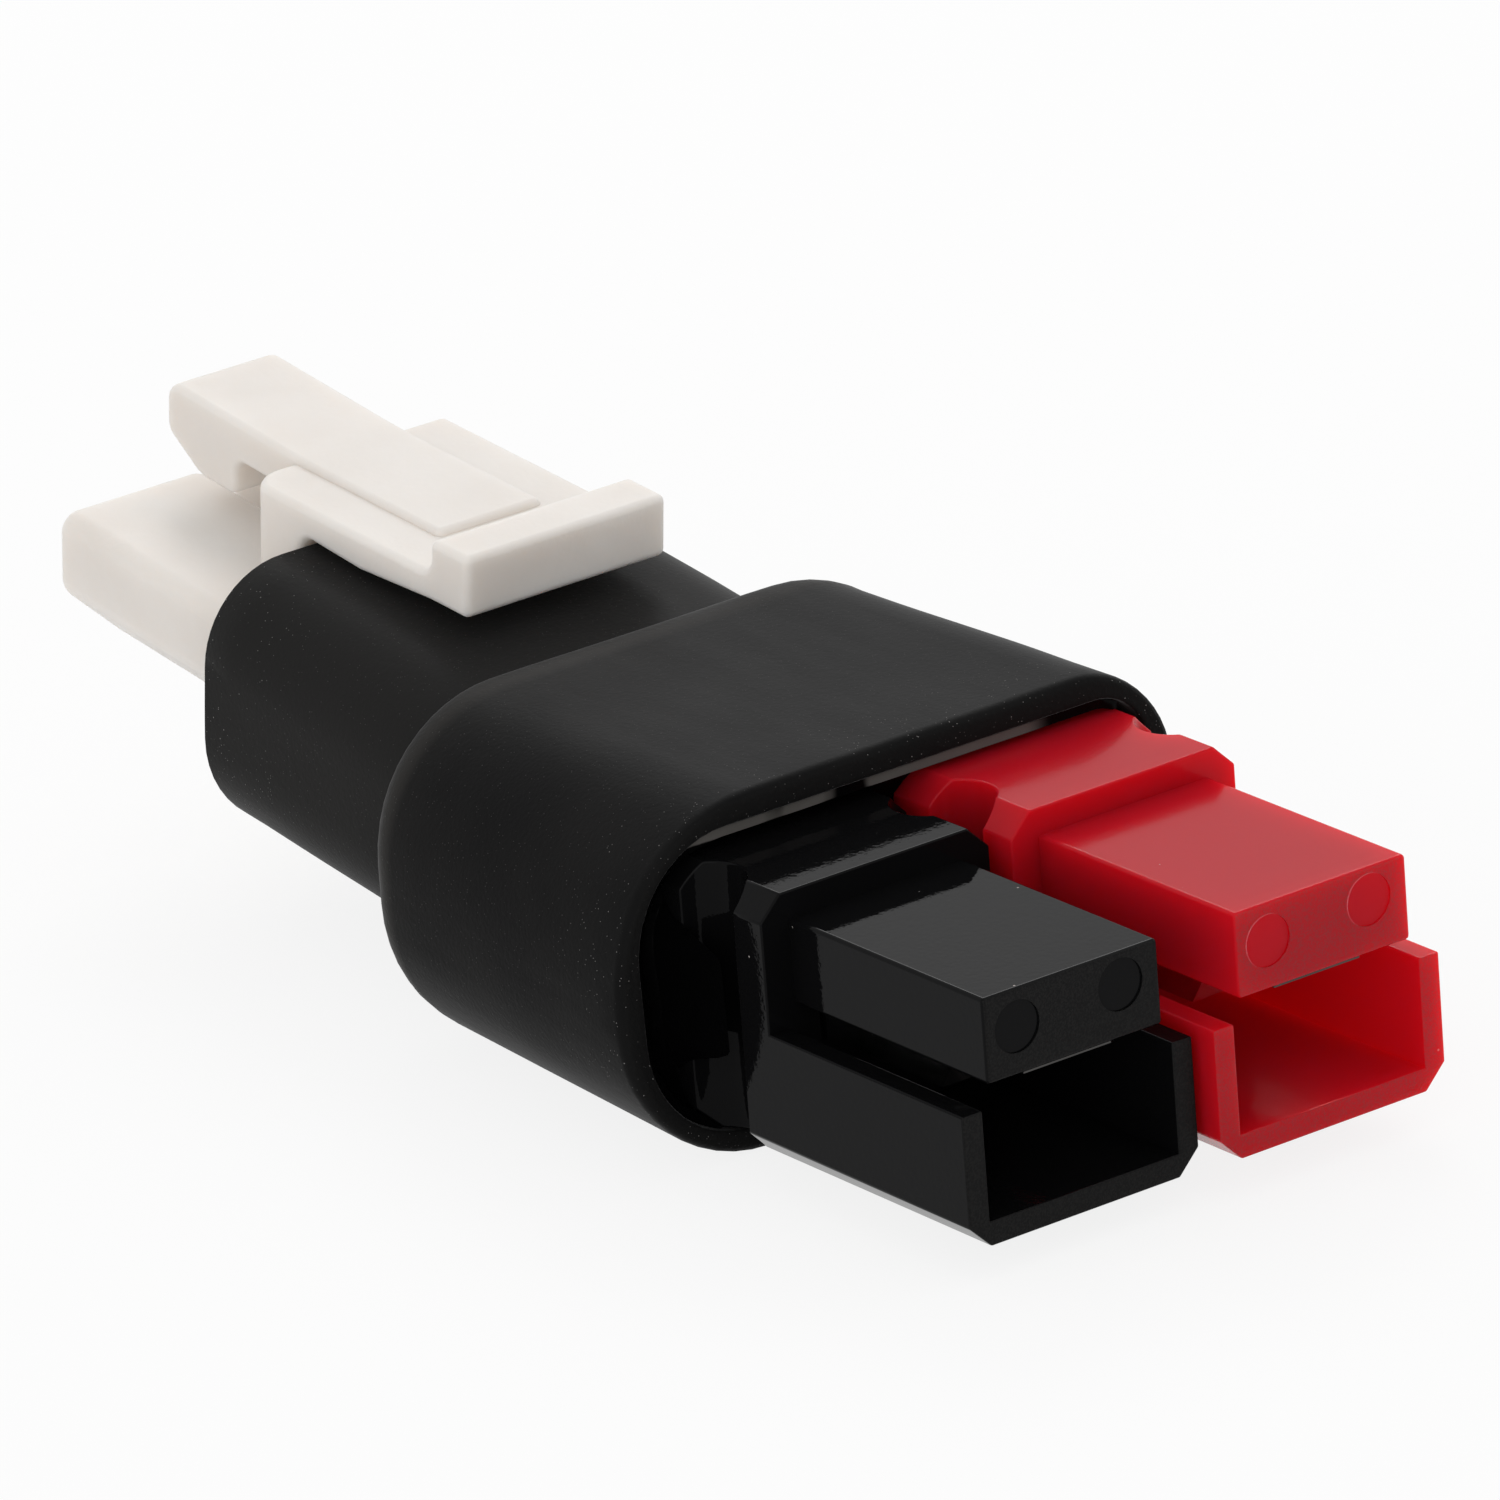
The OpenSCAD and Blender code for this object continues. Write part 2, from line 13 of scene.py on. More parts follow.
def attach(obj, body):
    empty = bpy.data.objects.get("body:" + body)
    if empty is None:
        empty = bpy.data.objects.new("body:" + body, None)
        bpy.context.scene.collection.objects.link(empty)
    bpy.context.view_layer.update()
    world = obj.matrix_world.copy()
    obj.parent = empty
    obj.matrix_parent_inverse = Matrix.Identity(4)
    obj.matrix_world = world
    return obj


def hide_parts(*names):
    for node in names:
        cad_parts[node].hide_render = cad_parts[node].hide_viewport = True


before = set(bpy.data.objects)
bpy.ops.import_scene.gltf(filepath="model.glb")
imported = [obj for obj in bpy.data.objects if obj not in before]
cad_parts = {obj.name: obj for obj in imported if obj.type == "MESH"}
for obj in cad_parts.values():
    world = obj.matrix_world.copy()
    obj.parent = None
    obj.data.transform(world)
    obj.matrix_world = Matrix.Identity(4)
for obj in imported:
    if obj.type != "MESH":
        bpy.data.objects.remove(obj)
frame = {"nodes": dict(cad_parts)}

MM = 0.001
# Points closer than this are merged, and a smaller difference in height counts as level, in millimetres
WELD = 0.0002
LEVEL = 1e-5
# Faces that meet at less than the first angle become one, edges above the second stay sharp, in degrees
FLAT_ANGLE = 0.1
SHARP_ANGLE = 38.0
# Smallest corner radius of a section that is moved in, in millimetres
LEAST_RADIUS = 0.05
Point = tuple[float, float]
Colour = tuple[float, float, float]
LOG = logging.getLogger("adapter")


class Axis(Enum):
    """Direction in which a flat outline is extruded."""

    X = "outline in y and z"
    Y = "outline in x and z"
    Z = "outline in x and y"

    def matrix(self) -> Matrix:
        """Gives the matrix from outline and depth to the solid's own axes."""
        columns = {
            Axis.X: ((0, 1, 0), (0, 0, 1), (1, 0, 0)),
            Axis.Y: ((1, 0, 0), (0, 0, 1), (0, -1, 0)),
            Axis.Z: ((1, 0, 0), (0, 1, 0), (0, 0, 1)),
        }[self]
        return Matrix(columns).transposed().to_4x4()


class Join(Enum):
    """How a second solid changes the first one."""

    ADD = "UNION"
    CUT = "DIFFERENCE"


@dataclass(frozen=True)
class Section:
    """Rounded section of the tube in millimetres: near_r is above, foot_r below, far_r on the far side."""

    near: float
    far: float
    low: float
    high: float
    near_r: float
    far_r: float
    foot_r: float

    def between(self, other: "Section", share: float) -> "Section":
        """Gives the section that lies part of the way to another one."""
        return Section(*(a + (b - a) * share for a, b in zip(astuple(self), astuple(other))))

    def inset(self, depth: float) -> "Section":
        """Gives the section moved in from its outline on all sides."""
        radii = (max(radius - depth, LEAST_RADIUS) for radius in (self.near_r, self.far_r, self.foot_r))
        return Section(self.near + depth, self.far - depth, self.low + depth, self.high - depth, *radii)


class Solid:
    """A closed mesh in the making, in millimetres."""

    def __init__(self) -> None:
        """Starts an empty mesh."""
        self.bm = bmesh.new()

    @classmethod
    def prism(cls, outline: Sequence[Point], start: float, end: float, axis: Axis = Axis.X,
              corners: Sequence[tuple[int, float]] = (), steps: int = 6) -> "Solid":
        """Extrudes a flat outline.

        Args:
            outline: Corners of the outline, in order.
            start: Where the extrusion starts along the axis.
            end: Where it ends.
            axis: Direction of the extrusion.
            corners: Index of a corner to round and the length cut from its edges, for each rounded corner.
            steps: Segments of each rounded corner.

        Returns:
            The extruded solid.
        """
        solid = cls()
        bm = solid.bm
        points = [bm.verts.new((u, v, start)) for u, v in outline]
        bm.faces.new(points)
        for index, cut in corners:
            bmesh.ops.bevel(bm, geom=[points[index]], offset=cut, offset_type="OFFSET", segments=steps,
                            profile=0.5, affect="VERTICES", material=-1, clamp_overlap=True)
        grown = bmesh.ops.extrude_face_region(bm, geom=list(bm.faces))
        top = [part for part in grown["geom"] if isinstance(part, bmesh.types.BMVert)]
        bmesh.ops.translate(bm, verts=top, vec=(0, 0, end - start))
        return solid.turned(axis.matrix()).outward()

    @classmethod
    def rod(cls, centre: Point, radius: float, start: float, end: float, axis: Axis = Axis.X,
            sides: int = 48) -> "Solid":
        """Makes a round rod.

        Args:
            centre: Middle of the rod in the outline's plane.
            radius: Radius of the rod.
            start: Where the rod starts along the axis.
            end: Where it ends.
            axis: Direction of the rod.
            sides: Number of sides.

        Returns:
            The rod.
        """
        solid = cls()
        middle = Matrix.Translation((*centre, (start + end) / 2))
        bmesh.ops.create_cone(solid.bm, cap_ends=True, segments=sides, radius1=radius, radius2=radius,
                              depth=end - start, matrix=middle)
        return solid.turned(axis.matrix()).outward()

    @classmethod
    def box(cls, low: Sequence[float], high: Sequence[float]) -> "Solid":
        """Makes a box between two corners."""
        solid = cls()
        middle = Matrix.Translation((Vector(low) + Vector(high)) / 2)
        size = Matrix.Diagonal((*(Vector(high) - Vector(low)), 1))
        bmesh.ops.create_cube(solid.bm, size=1, matrix=middle @ size)
        return solid

    def turned(self, matrix: Matrix) -> "Solid":
        """Moves every point by a matrix."""
        bmesh.ops.transform(self.bm, matrix=matrix, verts=self.bm.verts)
        return self

    def outward(self) -> "Solid":
        """Merges doubled points and turns every face outwards."""
        bmesh.ops.remove_doubles(self.bm, verts=self.bm.verts, dist=WELD)
        bmesh.ops.recalc_face_normals(self.bm, faces=self.bm.faces)
        return self

    def rounded(self, radius: float, segments: int = 3, sharp: float = 30.0,
                test: Callable[[bmesh.types.BMEdge], bool] = lambda edge: True) -> "Solid":
        """Rounds the outward edges.

        Args:
            radius: Width of the rounding.
            segments: Steps of the rounding.
            sharp: Smallest angle, in degrees, between the faces of an edge that is rounded.
            test: Tells which of these edges are taken.

        Returns:
            The solid itself.
        """
        limit = math.radians(sharp)
        outward = [edge for edge in self.bm.edges if len(edge.link_faces) == 2 and edge.is_convex]
        edges = [edge for edge in outward if edge.calc_face_angle() > limit and test(edge)]
        bmesh.ops.bevel(self.bm, geom=edges, offset=radius, offset_type="OFFSET", segments=segments,
                        profile=0.5, affect="EDGES", material=-1, clamp_overlap=True)
        return self

    def joined(self, other: "Solid", how: Join) -> "Solid":
        """Adds another solid to this one or cuts it away.

        Args:
            other: The second solid.
            how: Whether it is added or cut away.

        Returns:
            The solid itself.
        """
        base = self.as_object("join_base", 1.0)
        tool = other.as_object("join_tool", 1.0)
        modifier = base.modifiers.new("join", "BOOLEAN")
        modifier.object = tool
        modifier.operation = how.value
        modifier.solver = "EXACT"
        graph = bpy.context.evaluated_depsgraph_get()
        mesh = bpy.data.meshes.new_from_object(base.evaluated_get(graph))
        self.bm.clear()
        self.bm.from_mesh(mesh)
        for used in (mesh, base.data, tool.data):
            bpy.data.meshes.remove(used)
        bmesh.ops.remove_doubles(self.bm, verts=self.bm.verts, dist=WELD)
        bmesh.ops.dissolve_limit(self.bm, angle_limit=math.radians(FLAT_ANGLE), verts=self.bm.verts,
                                 edges=self.bm.edges)
        return self

    def cut(self, *tools: "Solid") -> "Solid":
        """Cuts solids away."""
        for tool in tools:
            self.joined(tool, Join.CUT)
        return self

    def add(self, *others: "Solid") -> "Solid":
        """Makes one solid with others."""
        for other in others:
            self.joined(other, Join.ADD)
        return self

    def bridged(self, rings: Sequence[list[bmesh.types.BMEdge]]) -> "Solid":
        """Joins each ring of edges to the next one by faces.

        Args:
            rings: The rings, in order.

        Returns:
            The solid itself.
        """
        for first, second in zip(rings, rings[1:]):
            bmesh.ops.bridge_loops(self.bm, edges=first + second)
        return self

    def as_object(self, name: str, scale: float) -> bpy.types.Object:
        """Makes a mesh object of the solid.

        Args:
            name: Name of the object and its mesh.
            scale: Size of one unit of the solid in the scene.

        Returns:
            The object, linked to the scene.
        """
        mesh = bpy.data.meshes.new(name)
        self.bm.to_mesh(mesh)
        mesh.transform(Matrix.Scale(scale, 4))
        made = bpy.data.objects.new(name, mesh)
        bpy.context.scene.collection.objects.link(made)
        return made


class Signal:
    """A number that changes over a surface, written in ordinary Python sums."""

    def __init__(self, graph: "Graph", socket: bpy.types.NodeSocket) -> None:
        """Keeps the socket that gives the number."""
        self.graph = graph
        self.socket = socket

    def __add__(self, other: "Number") -> "Signal":
        """Adds a number."""
        return self.graph.maths("ADD", self, other)

    def __radd__(self, other: "Number") -> "Signal":
        """Is added to a number."""
        return self.graph.maths("ADD", other, self)

    def __sub__(self, other: "Number") -> "Signal":
        """Takes a number away."""
        return self.graph.maths("SUBTRACT", self, other)

    def __rsub__(self, other: "Number") -> "Signal":
        """Is taken away from a number."""
        return self.graph.maths("SUBTRACT", other, self)

    def __mul__(self, other: "Number") -> "Signal":
        """Multiplies by a number."""
        return self.graph.maths("MULTIPLY", self, other)

    def __rmul__(self, other: "Number") -> "Signal":
        """Multiplies a number."""
        return self.graph.maths("MULTIPLY", other, self)

    def highest(self, other: "Number") -> "Signal":
        """Takes the larger of two numbers."""
        return self.graph.maths("MAXIMUM", self, other)

    def rise(self, low: float, high: float) -> "Signal":
        """Goes smoothly from 0 at the low value to 1 at the high one."""
        ramp = self.graph.node("ShaderNodeMapRange", {"interpolation_type": "SMOOTHSTEP"},
                               {"Value": self, "From Min": low, "From Max": high})
        return Signal(self.graph, ramp.outputs[0])

    def rise_from(self, place: float, span: Point) -> "Signal":
        """Goes smoothly from 0 to 1 over a span that is counted from a place."""
        return self.rise(place + span[0], place + span[1])


Number = float | Signal


class Graph:
    """A node tree that is written as expressions."""

    def __init__(self, tree: bpy.types.NodeTree) -> None:
        """Takes over a tree and empties it."""
        self.tree = tree
        self.tree.nodes.clear()

    def node(self, kind: str, settings: dict[str, Any] | None = None,
             sockets: dict[str | int, Any] | None = None) -> bpy.types.Node:
        """Adds a node.

        Args:
            kind: Type of the node.
            settings: Properties, which are set first.
            sockets: Value, socket or signal for each input, by name or place.

        Returns:
            The node.
        """
        made = self.tree.nodes.new(kind)
        for name, value in (settings or {}).items():
            setattr(made, name, value)
        for key, value in (sockets or {}).items():
            source = value.socket if isinstance(value, Signal) else value
            if isinstance(source, bpy.types.NodeSocket):
                self.tree.links.new(source, made.inputs[key])
            else:
                made.inputs[key].default_value = source
        return made

    def maths(self, operation: str, first: Number, second: Number) -> Signal:
        """Adds a sum of two numbers."""
        made = self.node("ShaderNodeMath", {"operation": operation}, {0: first, 1: second})
        return Signal(self, made.outputs[0])

    def seen(self) -> Signal:
        """Is 1 where the camera, a reflection or clear material looks at the backdrop itself."""
        rays = self.node("ShaderNodeLightPath").outputs
        camera, glossy, through = (Signal(self, rays[name]) for name in
                                   ("Is Camera Ray", "Is Glossy Ray", "Is Transmission Ray"))
        return camera.highest(glossy).highest(through)


@dataclass(frozen=True)
class Clouds:
    """Soft noise: clouds in a millimetre, octaves of finer noise, how much finer it is along each axis."""

    per_mm: float
    detail: float = 3.0
    stretch: tuple[float, float, float] = (1, 1, 1)


@dataclass(frozen=True)
class Specks:
    """Scattered specks: places in a millimetre, their radius, the share of places that hold one."""

    per_mm: float
    size: float
    share: float
    core: float = 0.5
    full: float = 0.8


class Surface(Graph):
    """The node tree of a material, with its place on the part in millimetres."""

    def __init__(self, name: str) -> None:
        """Starts an empty material."""
        self.material = bpy.data.materials.new(name)
        self.material.use_nodes = True
        super().__init__(self.material.node_tree)
        spot = self.node("ShaderNodeTexCoord").outputs["Object"]
        scaled = self.node("ShaderNodeVectorMath", {"operation": "SCALE"},
                           {"Vector": spot, "Scale": 1 / MM})
        self.place = scaled.outputs[0]

    def along(self, axis: Axis) -> Signal:
        """Gives the place along one axis of the part."""
        parts = self.node("ShaderNodeSeparateXYZ", sockets={"Vector": self.place})
        return Signal(self, parts.outputs[axis.name])

    def noise(self, clouds: Clouds) -> Signal:
        """Gives soft cloudy noise.

        Args:
            clouds: Size and detail of the noise.

        Returns:
            The noise, from 0 to 1.
        """
        spot = self.node("ShaderNodeVectorMath", {"operation": "MULTIPLY"},
                         {0: self.place, 1: clouds.stretch})
        sockets = {"Vector": spot.outputs[0], "Scale": clouds.per_mm, "Detail": clouds.detail}
        return Signal(self, self.node("ShaderNodeTexNoise", sockets=sockets).outputs[0])

    def specks(self, spread: Specks) -> Signal:
        """Gives small scattered specks.

        Args:
            spread: How close together and how large the specks are.

        Returns:
            1 on a speck and 0 elsewhere.
        """
        made = self.node("ShaderNodeTexVoronoi", {"feature": "F1"},
                         {"Vector": self.place, "Scale": spread.per_mm})
        parts = self.node("ShaderNodeSeparateColor", sockets={0: made.outputs["Color"]})
        chosen = Signal(self, parts.outputs[0]).rise(1 - spread.share, 1 - spread.full * spread.share)
        away = Signal(self, made.outputs["Distance"]).rise(spread.core * spread.size, spread.size)
        return (1 - away) * chosen

    def mixed(self, share: Signal, first: Any, second: Any) -> bpy.types.NodeSocket:
        """Mixes two colours.

        Args:
            share: How much of the second colour shows.
            first: Colour or socket.
            second: Colour or socket.

        Returns:
            The mixed colour's socket.
        """
        ends = [(*end, 1.0) if isinstance(end, tuple) else end for end in (first, second)]
        made = self.node("ShaderNodeMix", {"data_type": "RGBA"}, {0: share, 6: ends[0], 7: ends[1]})
        return made.outputs[2]

    def bumped(self, height: Signal, depth: float) -> bpy.types.NodeSocket:
        """Gives the normal of a surface whose height changes by a depth in millimetres."""
        made = self.node("ShaderNodeBump", sockets={"Height": height, "Distance": depth * MM})
        return made.outputs[0]

    def shaded(self, sockets: dict[str, Any]) -> bpy.types.Material:
        """Ends the tree in a shader with the given sockets, and gives the material."""
        shader = self.node("ShaderNodeBsdfPrincipled", sockets=sockets)
        self.node("ShaderNodeOutputMaterial", sockets={"Surface": shader.outputs[0]})
        return self.material


class Finish(Protocol):
    """A finish of one of the record's material slots."""

    slot: str

    def material(self) -> bpy.types.Material:
        """Builds the material."""


@dataclass(frozen=True)
class GlossPlastic:
    """Glossy moulded plastic, finely grained on the faces at its front."""

    slot: str
    colour: Colour
    grain_colour: Colour
    front: float
    roughness: float = 0.02
    specular: float = 0.055
    scatter: float = 0.0
    scatter_radius: Colour = (1.0, 0.12, 0.1)
    scatter_depth: float = 3.5
    dust: Colour = (0.4, 0.37, 0.35)
    front_span: Point = (-0.05, -0.02)
    clouds: Clouds = Clouds(0.4)
    grain: Clouds = Clouds(17.0, 2.0)
    waves: Clouds = Clouds(6.0, 2.0)
    specks: Specks = Specks(1.1, 0.05, 0.22)
    speckle: Point = (0.3, 0.6)
    speckle_span: Point = (0.4, 0.65)
    cloud_roughness: float = 0.03
    grain_roughness: float = 0.28
    dust_roughness: float = 0.3
    plain_grain: float = 0.02
    wave_height: float = 0.25
    dust_height: float = 0.5
    bump: float = 0.012

    def material(self) -> bpy.types.Material:
        """Builds the material."""
        surface = Surface(self.slot)
        grained = surface.along(Axis.X).rise_from(self.front, self.front_span)
        clouds = surface.noise(self.clouds)
        grain = surface.noise(self.grain)
        waves = surface.noise(self.waves)
        dust = surface.specks(self.specks)
        speckle = grained * (self.speckle[0] + self.speckle[1] * grain.rise(*self.speckle_span))
        colour = surface.mixed(dust, surface.mixed(speckle, self.colour, self.grain_colour), self.dust)
        height = grain * (self.plain_grain + grained) + waves * self.wave_height + dust * self.dust_height
        rough = self.roughness + self.cloud_roughness * clouds + self.grain_roughness * grained
        return surface.shaded({
            "Base Color": colour,
            "Roughness": rough + self.dust_roughness * dust,
            "Specular IOR Level": self.specular,
            "Subsurface Weight": self.scatter,
            "Subsurface Radius": self.scatter_radius,
            "Subsurface Scale": self.scatter_depth * MM,
            "Normal": surface.bumped(height, self.bump),
        })


@dataclass(frozen=True)
class ClearNylon:
    """White nylon that lets some light in."""

    slot: str
    colour: Colour
    shade: Colour
    roughness: float = 0.42
    specular: float = 0.2
    scatter: float = 1.0
    scatter_radius: Colour = (1.0, 0.95, 0.9)
    scatter_depth: float = 0.7
    clouds: Clouds = Clouds(0.3)
    skin: Clouds = Clouds(5.0, 2.0)
    shade_span: Point = (0.3, 0.75)
    skin_roughness: float = 0.1
    cloud_height: float = 2.0
    bump: float = 0.012

    def material(self) -> bpy.types.Material:
        """Builds the material."""
        surface = Surface(self.slot)
        clouds = surface.noise(self.clouds)
        skin = surface.noise(self.skin)
        return surface.shaded({
            "Base Color": surface.mixed(clouds.rise(*self.shade_span), self.colour, self.shade),
            "Roughness": self.roughness + self.skin_roughness * skin,
            "Specular IOR Level": self.specular,
            "Subsurface Weight": self.scatter,
            "Subsurface Radius": self.scatter_radius,
            "Subsurface Scale": self.scatter_depth * MM,
            "Normal": surface.bumped(skin + self.cloud_height * clouds, self.bump),
        })


@dataclass(frozen=True)
class ShrunkTube:
    """Matt black tube with a soft sheen, dusty at both ends, with painted light: a lighter narrow end and a
    painted highlight band at the shoulder's rim.
    """

    slot: str
    colour: Colour
    worn: Colour
    # Painted light: a lighter colour for the narrow end, standing in for light falling on it.
    narrow_painted_light: Colour
    # Painted highlight colour for a band along the shoulder's rim.
    rim: Colour
    mouth: float
    lean: float
    step: float
    tail: float
    roughness: float = 0.46
    specular: float = 0.028
    sheen: float = 0.1
    sheen_roughness: float = 0.3
    dust: Colour = (0.3, 0.29, 0.28)
    mouth_span: Point = (-4.0, 0.2)
    tail_span: Point = (-0.5, 5.0)
    cut_span: Point = (-0.08, -0.02)
    # Where the narrow end's painted light fades out, counted from the step.
    narrow_light_span: Point = (-2.5, 2.0)
    # Where the rim's painted highlight rises and falls, counted from the step.
    rim_highlight_start: Point = (-0.9, -0.3)
    rim_highlight_end: Point = (-0.2, 0.3)
    clouds: Clouds = Clouds(0.22, 4.0)
    streaks: Clouds = Clouds(0.8, 4.0, (0.25, 1, 1))
    grain: Clouds = Clouds(7.0)
    patches: Clouds = Clouds(0.9, 2.0)
    patch_span: Point = (0.42, 0.62)
    small_specks: Specks = Specks(4.3, 0.1, 0.25)
    fine_specks: Specks = Specks(8.7, 0.16, 0.42)
    dusty: Point = (0.15, 1.4)
    worn_span: Point = (0.35, 0.7)
    worn_share: float = 0.6
    cut_grain: Point = (0.5, 0.8)
    cut_worn: Point = (0.5, 0.5)
    streak_roughness: float = 0.1
    cut_roughness: float = 0.2
    grain_height: float = 0.5
    cut_height: float = 1.2
    bump: float = 0.02

    def material(self) -> bpy.types.Material:
        """Builds the material."""
        surface = Surface(self.slot)
        x = surface.along(Axis.X)
        ends = x.rise_from(self.mouth, self.mouth_span) + (1 - x.rise_from(self.tail, self.tail_span))
        cut = (x + self.lean * surface.along(Axis.Z)).rise_from(self.mouth, self.cut_span)
        clouds = surface.noise(self.clouds)
        streaks = surface.noise(self.streaks)
        grain = surface.noise(self.grain)
        patches = surface.noise(self.patches).rise(*self.patch_span)
        small = surface.specks(self.small_specks)
        fine = surface.specks(self.fine_specks)
        dust = (self.dusty[0] + self.dusty[1] * ends * patches) * small.highest(fine)
        rubbed = clouds.rise(*self.worn_span) * self.worn_share * (1 - cut)
        worn = rubbed + cut * (self.cut_worn[0] + self.cut_worn[1] * grain.rise(*self.cut_grain))
        skin = surface.mixed(worn, self.colour, self.worn)
        # The narrow end is painted lighter than the rest of the tube, as painted light.
        narrow_painted_light = surface.mixed(1 - x.rise_from(self.step, self.narrow_light_span), skin, self.narrow_painted_light)
        # A band along the shoulder's rim gets a painted highlight.
        rim = x.rise_from(self.step, self.rim_highlight_start) * (1 - x.rise_from(self.step, self.rim_highlight_end))
        height = self.grain_height * grain + streaks + self.cut_height * cut * grain + dust
        colour = surface.mixed(dust, surface.mixed(rim, narrow_painted_light, self.rim), self.dust)
        return surface.shaded({
            "Base Color": colour,
            "Roughness": self.roughness + self.streak_roughness * streaks + self.cut_roughness * cut,
            "Specular IOR Level": self.specular,
            "Sheen Weight": self.sheen,
            "Sheen Roughness": self.sheen_roughness,
            "Normal": surface.bumped(height, self.bump),
        })


@dataclass(frozen=True)
class HotMelt:
    """Glossy black adhesive, with a paler and rougher strip painted under the top of the tube."""

    slot: str
    colour: Colour
    # Colour and place of the paler strip painted under the top of the tube.
    pale_strip_colour: Colour
    strip_above: float
    strip_near: float
    strip_far: float
    cut_at: float
    roughness: float = 0.06
    specular: float = 0.035
    lumps: Clouds = Clouds(1.2, 2.0)
    breaks: Clouds = Clouds(0.5, 1.0, (1, 1, 0.3))
    break_span: Point = (0.31, 0.37)
    level_shift: Point = (0.5, 0.25)
    layer_span: Point = (-0.06, 0.0)
    near_span: Point = (-0.6, 0.0)
    far_span: Point = (0.0, 1.0)
    cut_span: Point = (-0.08, 0.0)
    lump_roughness: float = 0.08
    strip_roughness: float = 0.4
    bump: float = 0.1

    def material(self) -> bpy.types.Material:
        """Builds the material."""
        surface = Surface(self.slot)
        lumps = surface.noise(self.lumps)
        across = surface.along(Axis.Y)
        breaks = surface.noise(self.breaks)
        level = surface.along(Axis.Z) + self.level_shift[0] * breaks - self.level_shift[1]
        layer = level.rise_from(self.strip_above, self.layer_span)
        near = across.rise_from(self.strip_near, self.near_span)
        far = 1 - across.rise_from(self.strip_far, self.far_span)
        cut = surface.along(Axis.X).rise_from(self.cut_at, self.cut_span)
        # A paler, rougher strip under the top of the tube, broken up by noise.
        pale_strip = layer * near * far * cut * breaks.rise(*self.break_span)
        return surface.shaded({
            "Base Color": surface.mixed(pale_strip, self.colour, self.pale_strip_colour),
            "Roughness": self.roughness + self.lump_roughness * lumps + self.strip_roughness * pale_strip,
            "Specular IOR Level": self.specular,
            "Normal": surface.bumped(lumps, self.bump),
        })


@dataclass(frozen=True)
class DrawnMetal:
    """Plated or rolled metal with fine lines along the part."""

    slot: str
    colour: Colour
    tarnish: Colour
    roughness: float
    lines: Clouds = Clouds(6.0, 3.0, (0.08, 1, 1))
    clouds: Clouds = Clouds(0.6)
    tarnish_span: Point = (0.4, 0.8)
    tarnish_share: float = 0.6
    line_roughness: float = 0.15
    bump: float = 0.01

    def material(self) -> bpy.types.Material:
        """Builds the material."""
        surface = Surface(self.slot)
        lines = surface.noise(self.lines)
        clouds = surface.noise(self.clouds)
        dull = clouds.rise(*self.tarnish_span) * self.tarnish_share
        return surface.shaded({
            "Base Color": surface.mixed(dull, self.colour, self.tarnish),
            "Metallic": 1.0,
            "Roughness": self.roughness + self.line_roughness * lines,
            "Normal": surface.bumped(lines, self.bump),
        })


@dataclass(frozen=True)
class Strands:
    """Twisted bare copper strands, with painted shade in the grooves between them."""

    slot: str
    colour: Colour
    # Painted shade: the darker colour of the grooves between the strands.
    groove_shade: Colour
    per_mm: float = 1.3
    distortion: float = 0.6
    roughness: float = 0.4
    strand_gloss: float = 0.1
    bump: float = 0.08

    def material(self) -> bpy.types.Material:
        """Builds the material."""
        surface = Surface(self.slot)
        wave = surface.node("ShaderNodeTexWave", {"bands_direction": "DIAGONAL"},
                            {"Vector": surface.place, "Scale": self.per_mm,
                             "Distortion": self.distortion})
        strand = Signal(surface, wave.outputs[1])
        return surface.shaded({
            "Base Color": surface.mixed(strand, self.groove_shade, self.colour),
            "Metallic": 1.0,
            "Roughness": self.roughness - self.strand_gloss * strand,
            "Normal": surface.bumped(strand, self.bump),
        })


@dataclass(frozen=True)
class SoftInsulation:
    """Soft silicone insulation with a powdery skin."""

    slot: str
    colour: Colour
    powder: Colour
    clouds: Clouds = Clouds(0.9, 5.0)
    powder_span: Point = (0.4, 0.8)
    powder_share: float = 0.4
    roughness: float = 0.6
    cloud_roughness: float = 0.2
    bump: float = 0.02

    def material(self) -> bpy.types.Material:
        """Builds the material."""
        surface = Surface(self.slot)
        clouds = surface.noise(self.clouds)
        dull = clouds.rise(*self.powder_span) * self.powder_share
        return surface.shaded({
            "Base Color": surface.mixed(dull, self.colour, self.powder),
            "Roughness": self.roughness + self.cloud_roughness * clouds,
            "Normal": surface.bumped(clouds, self.bump),
        })


def piece(solid: Solid, name: str, node: str, finish: Finish) -> bpy.types.Object:
    """Makes a finished piece of a solid and lets it stand for a node of the frame.

    Args:
        solid: The solid, in its place.
        name: Name of the piece.
        node: The node that it stands for.
        finish: The finish of its surface.

    Returns:
        The piece.
    """
    made = solid.outward().as_object(name, MM)
    made.data.shade_smooth()
    made.data.set_sharp_from_angle(angle=math.radians(SHARP_ANGLE))
    made.data.materials.append(finish.material())
    flats = made.modifiers.new("flat_faces", "WEIGHTED_NORMAL")
    flats.keep_sharp = True
    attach(made, "root")
    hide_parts(node)
    LOG.info("%s: %d faces", name, len(made.data.polygons))
    return made


@dataclass(frozen=True)
class Layout:
    """Places of the housings' frame in the part's frame, and of the plug's frame in the housings'."""

    origin: tuple[float, float, float] = (23.446, 0.9, 1.15)
    bend: float = 7.4
    plug_origin: tuple[float, float, float] = (-28.765, 0.0, 4.491)

    def part(self) -> Matrix:
        """Gives the matrix from the housings' frame to the part's."""
        return Matrix.Translation(self.origin)

    def plug(self) -> Matrix:
        """Gives the matrix from the plug's frame to the housings'."""
        return Matrix.Translation(self.plug_origin) @ Matrix.Rotation(math.radians(self.bend), 4, "Y")


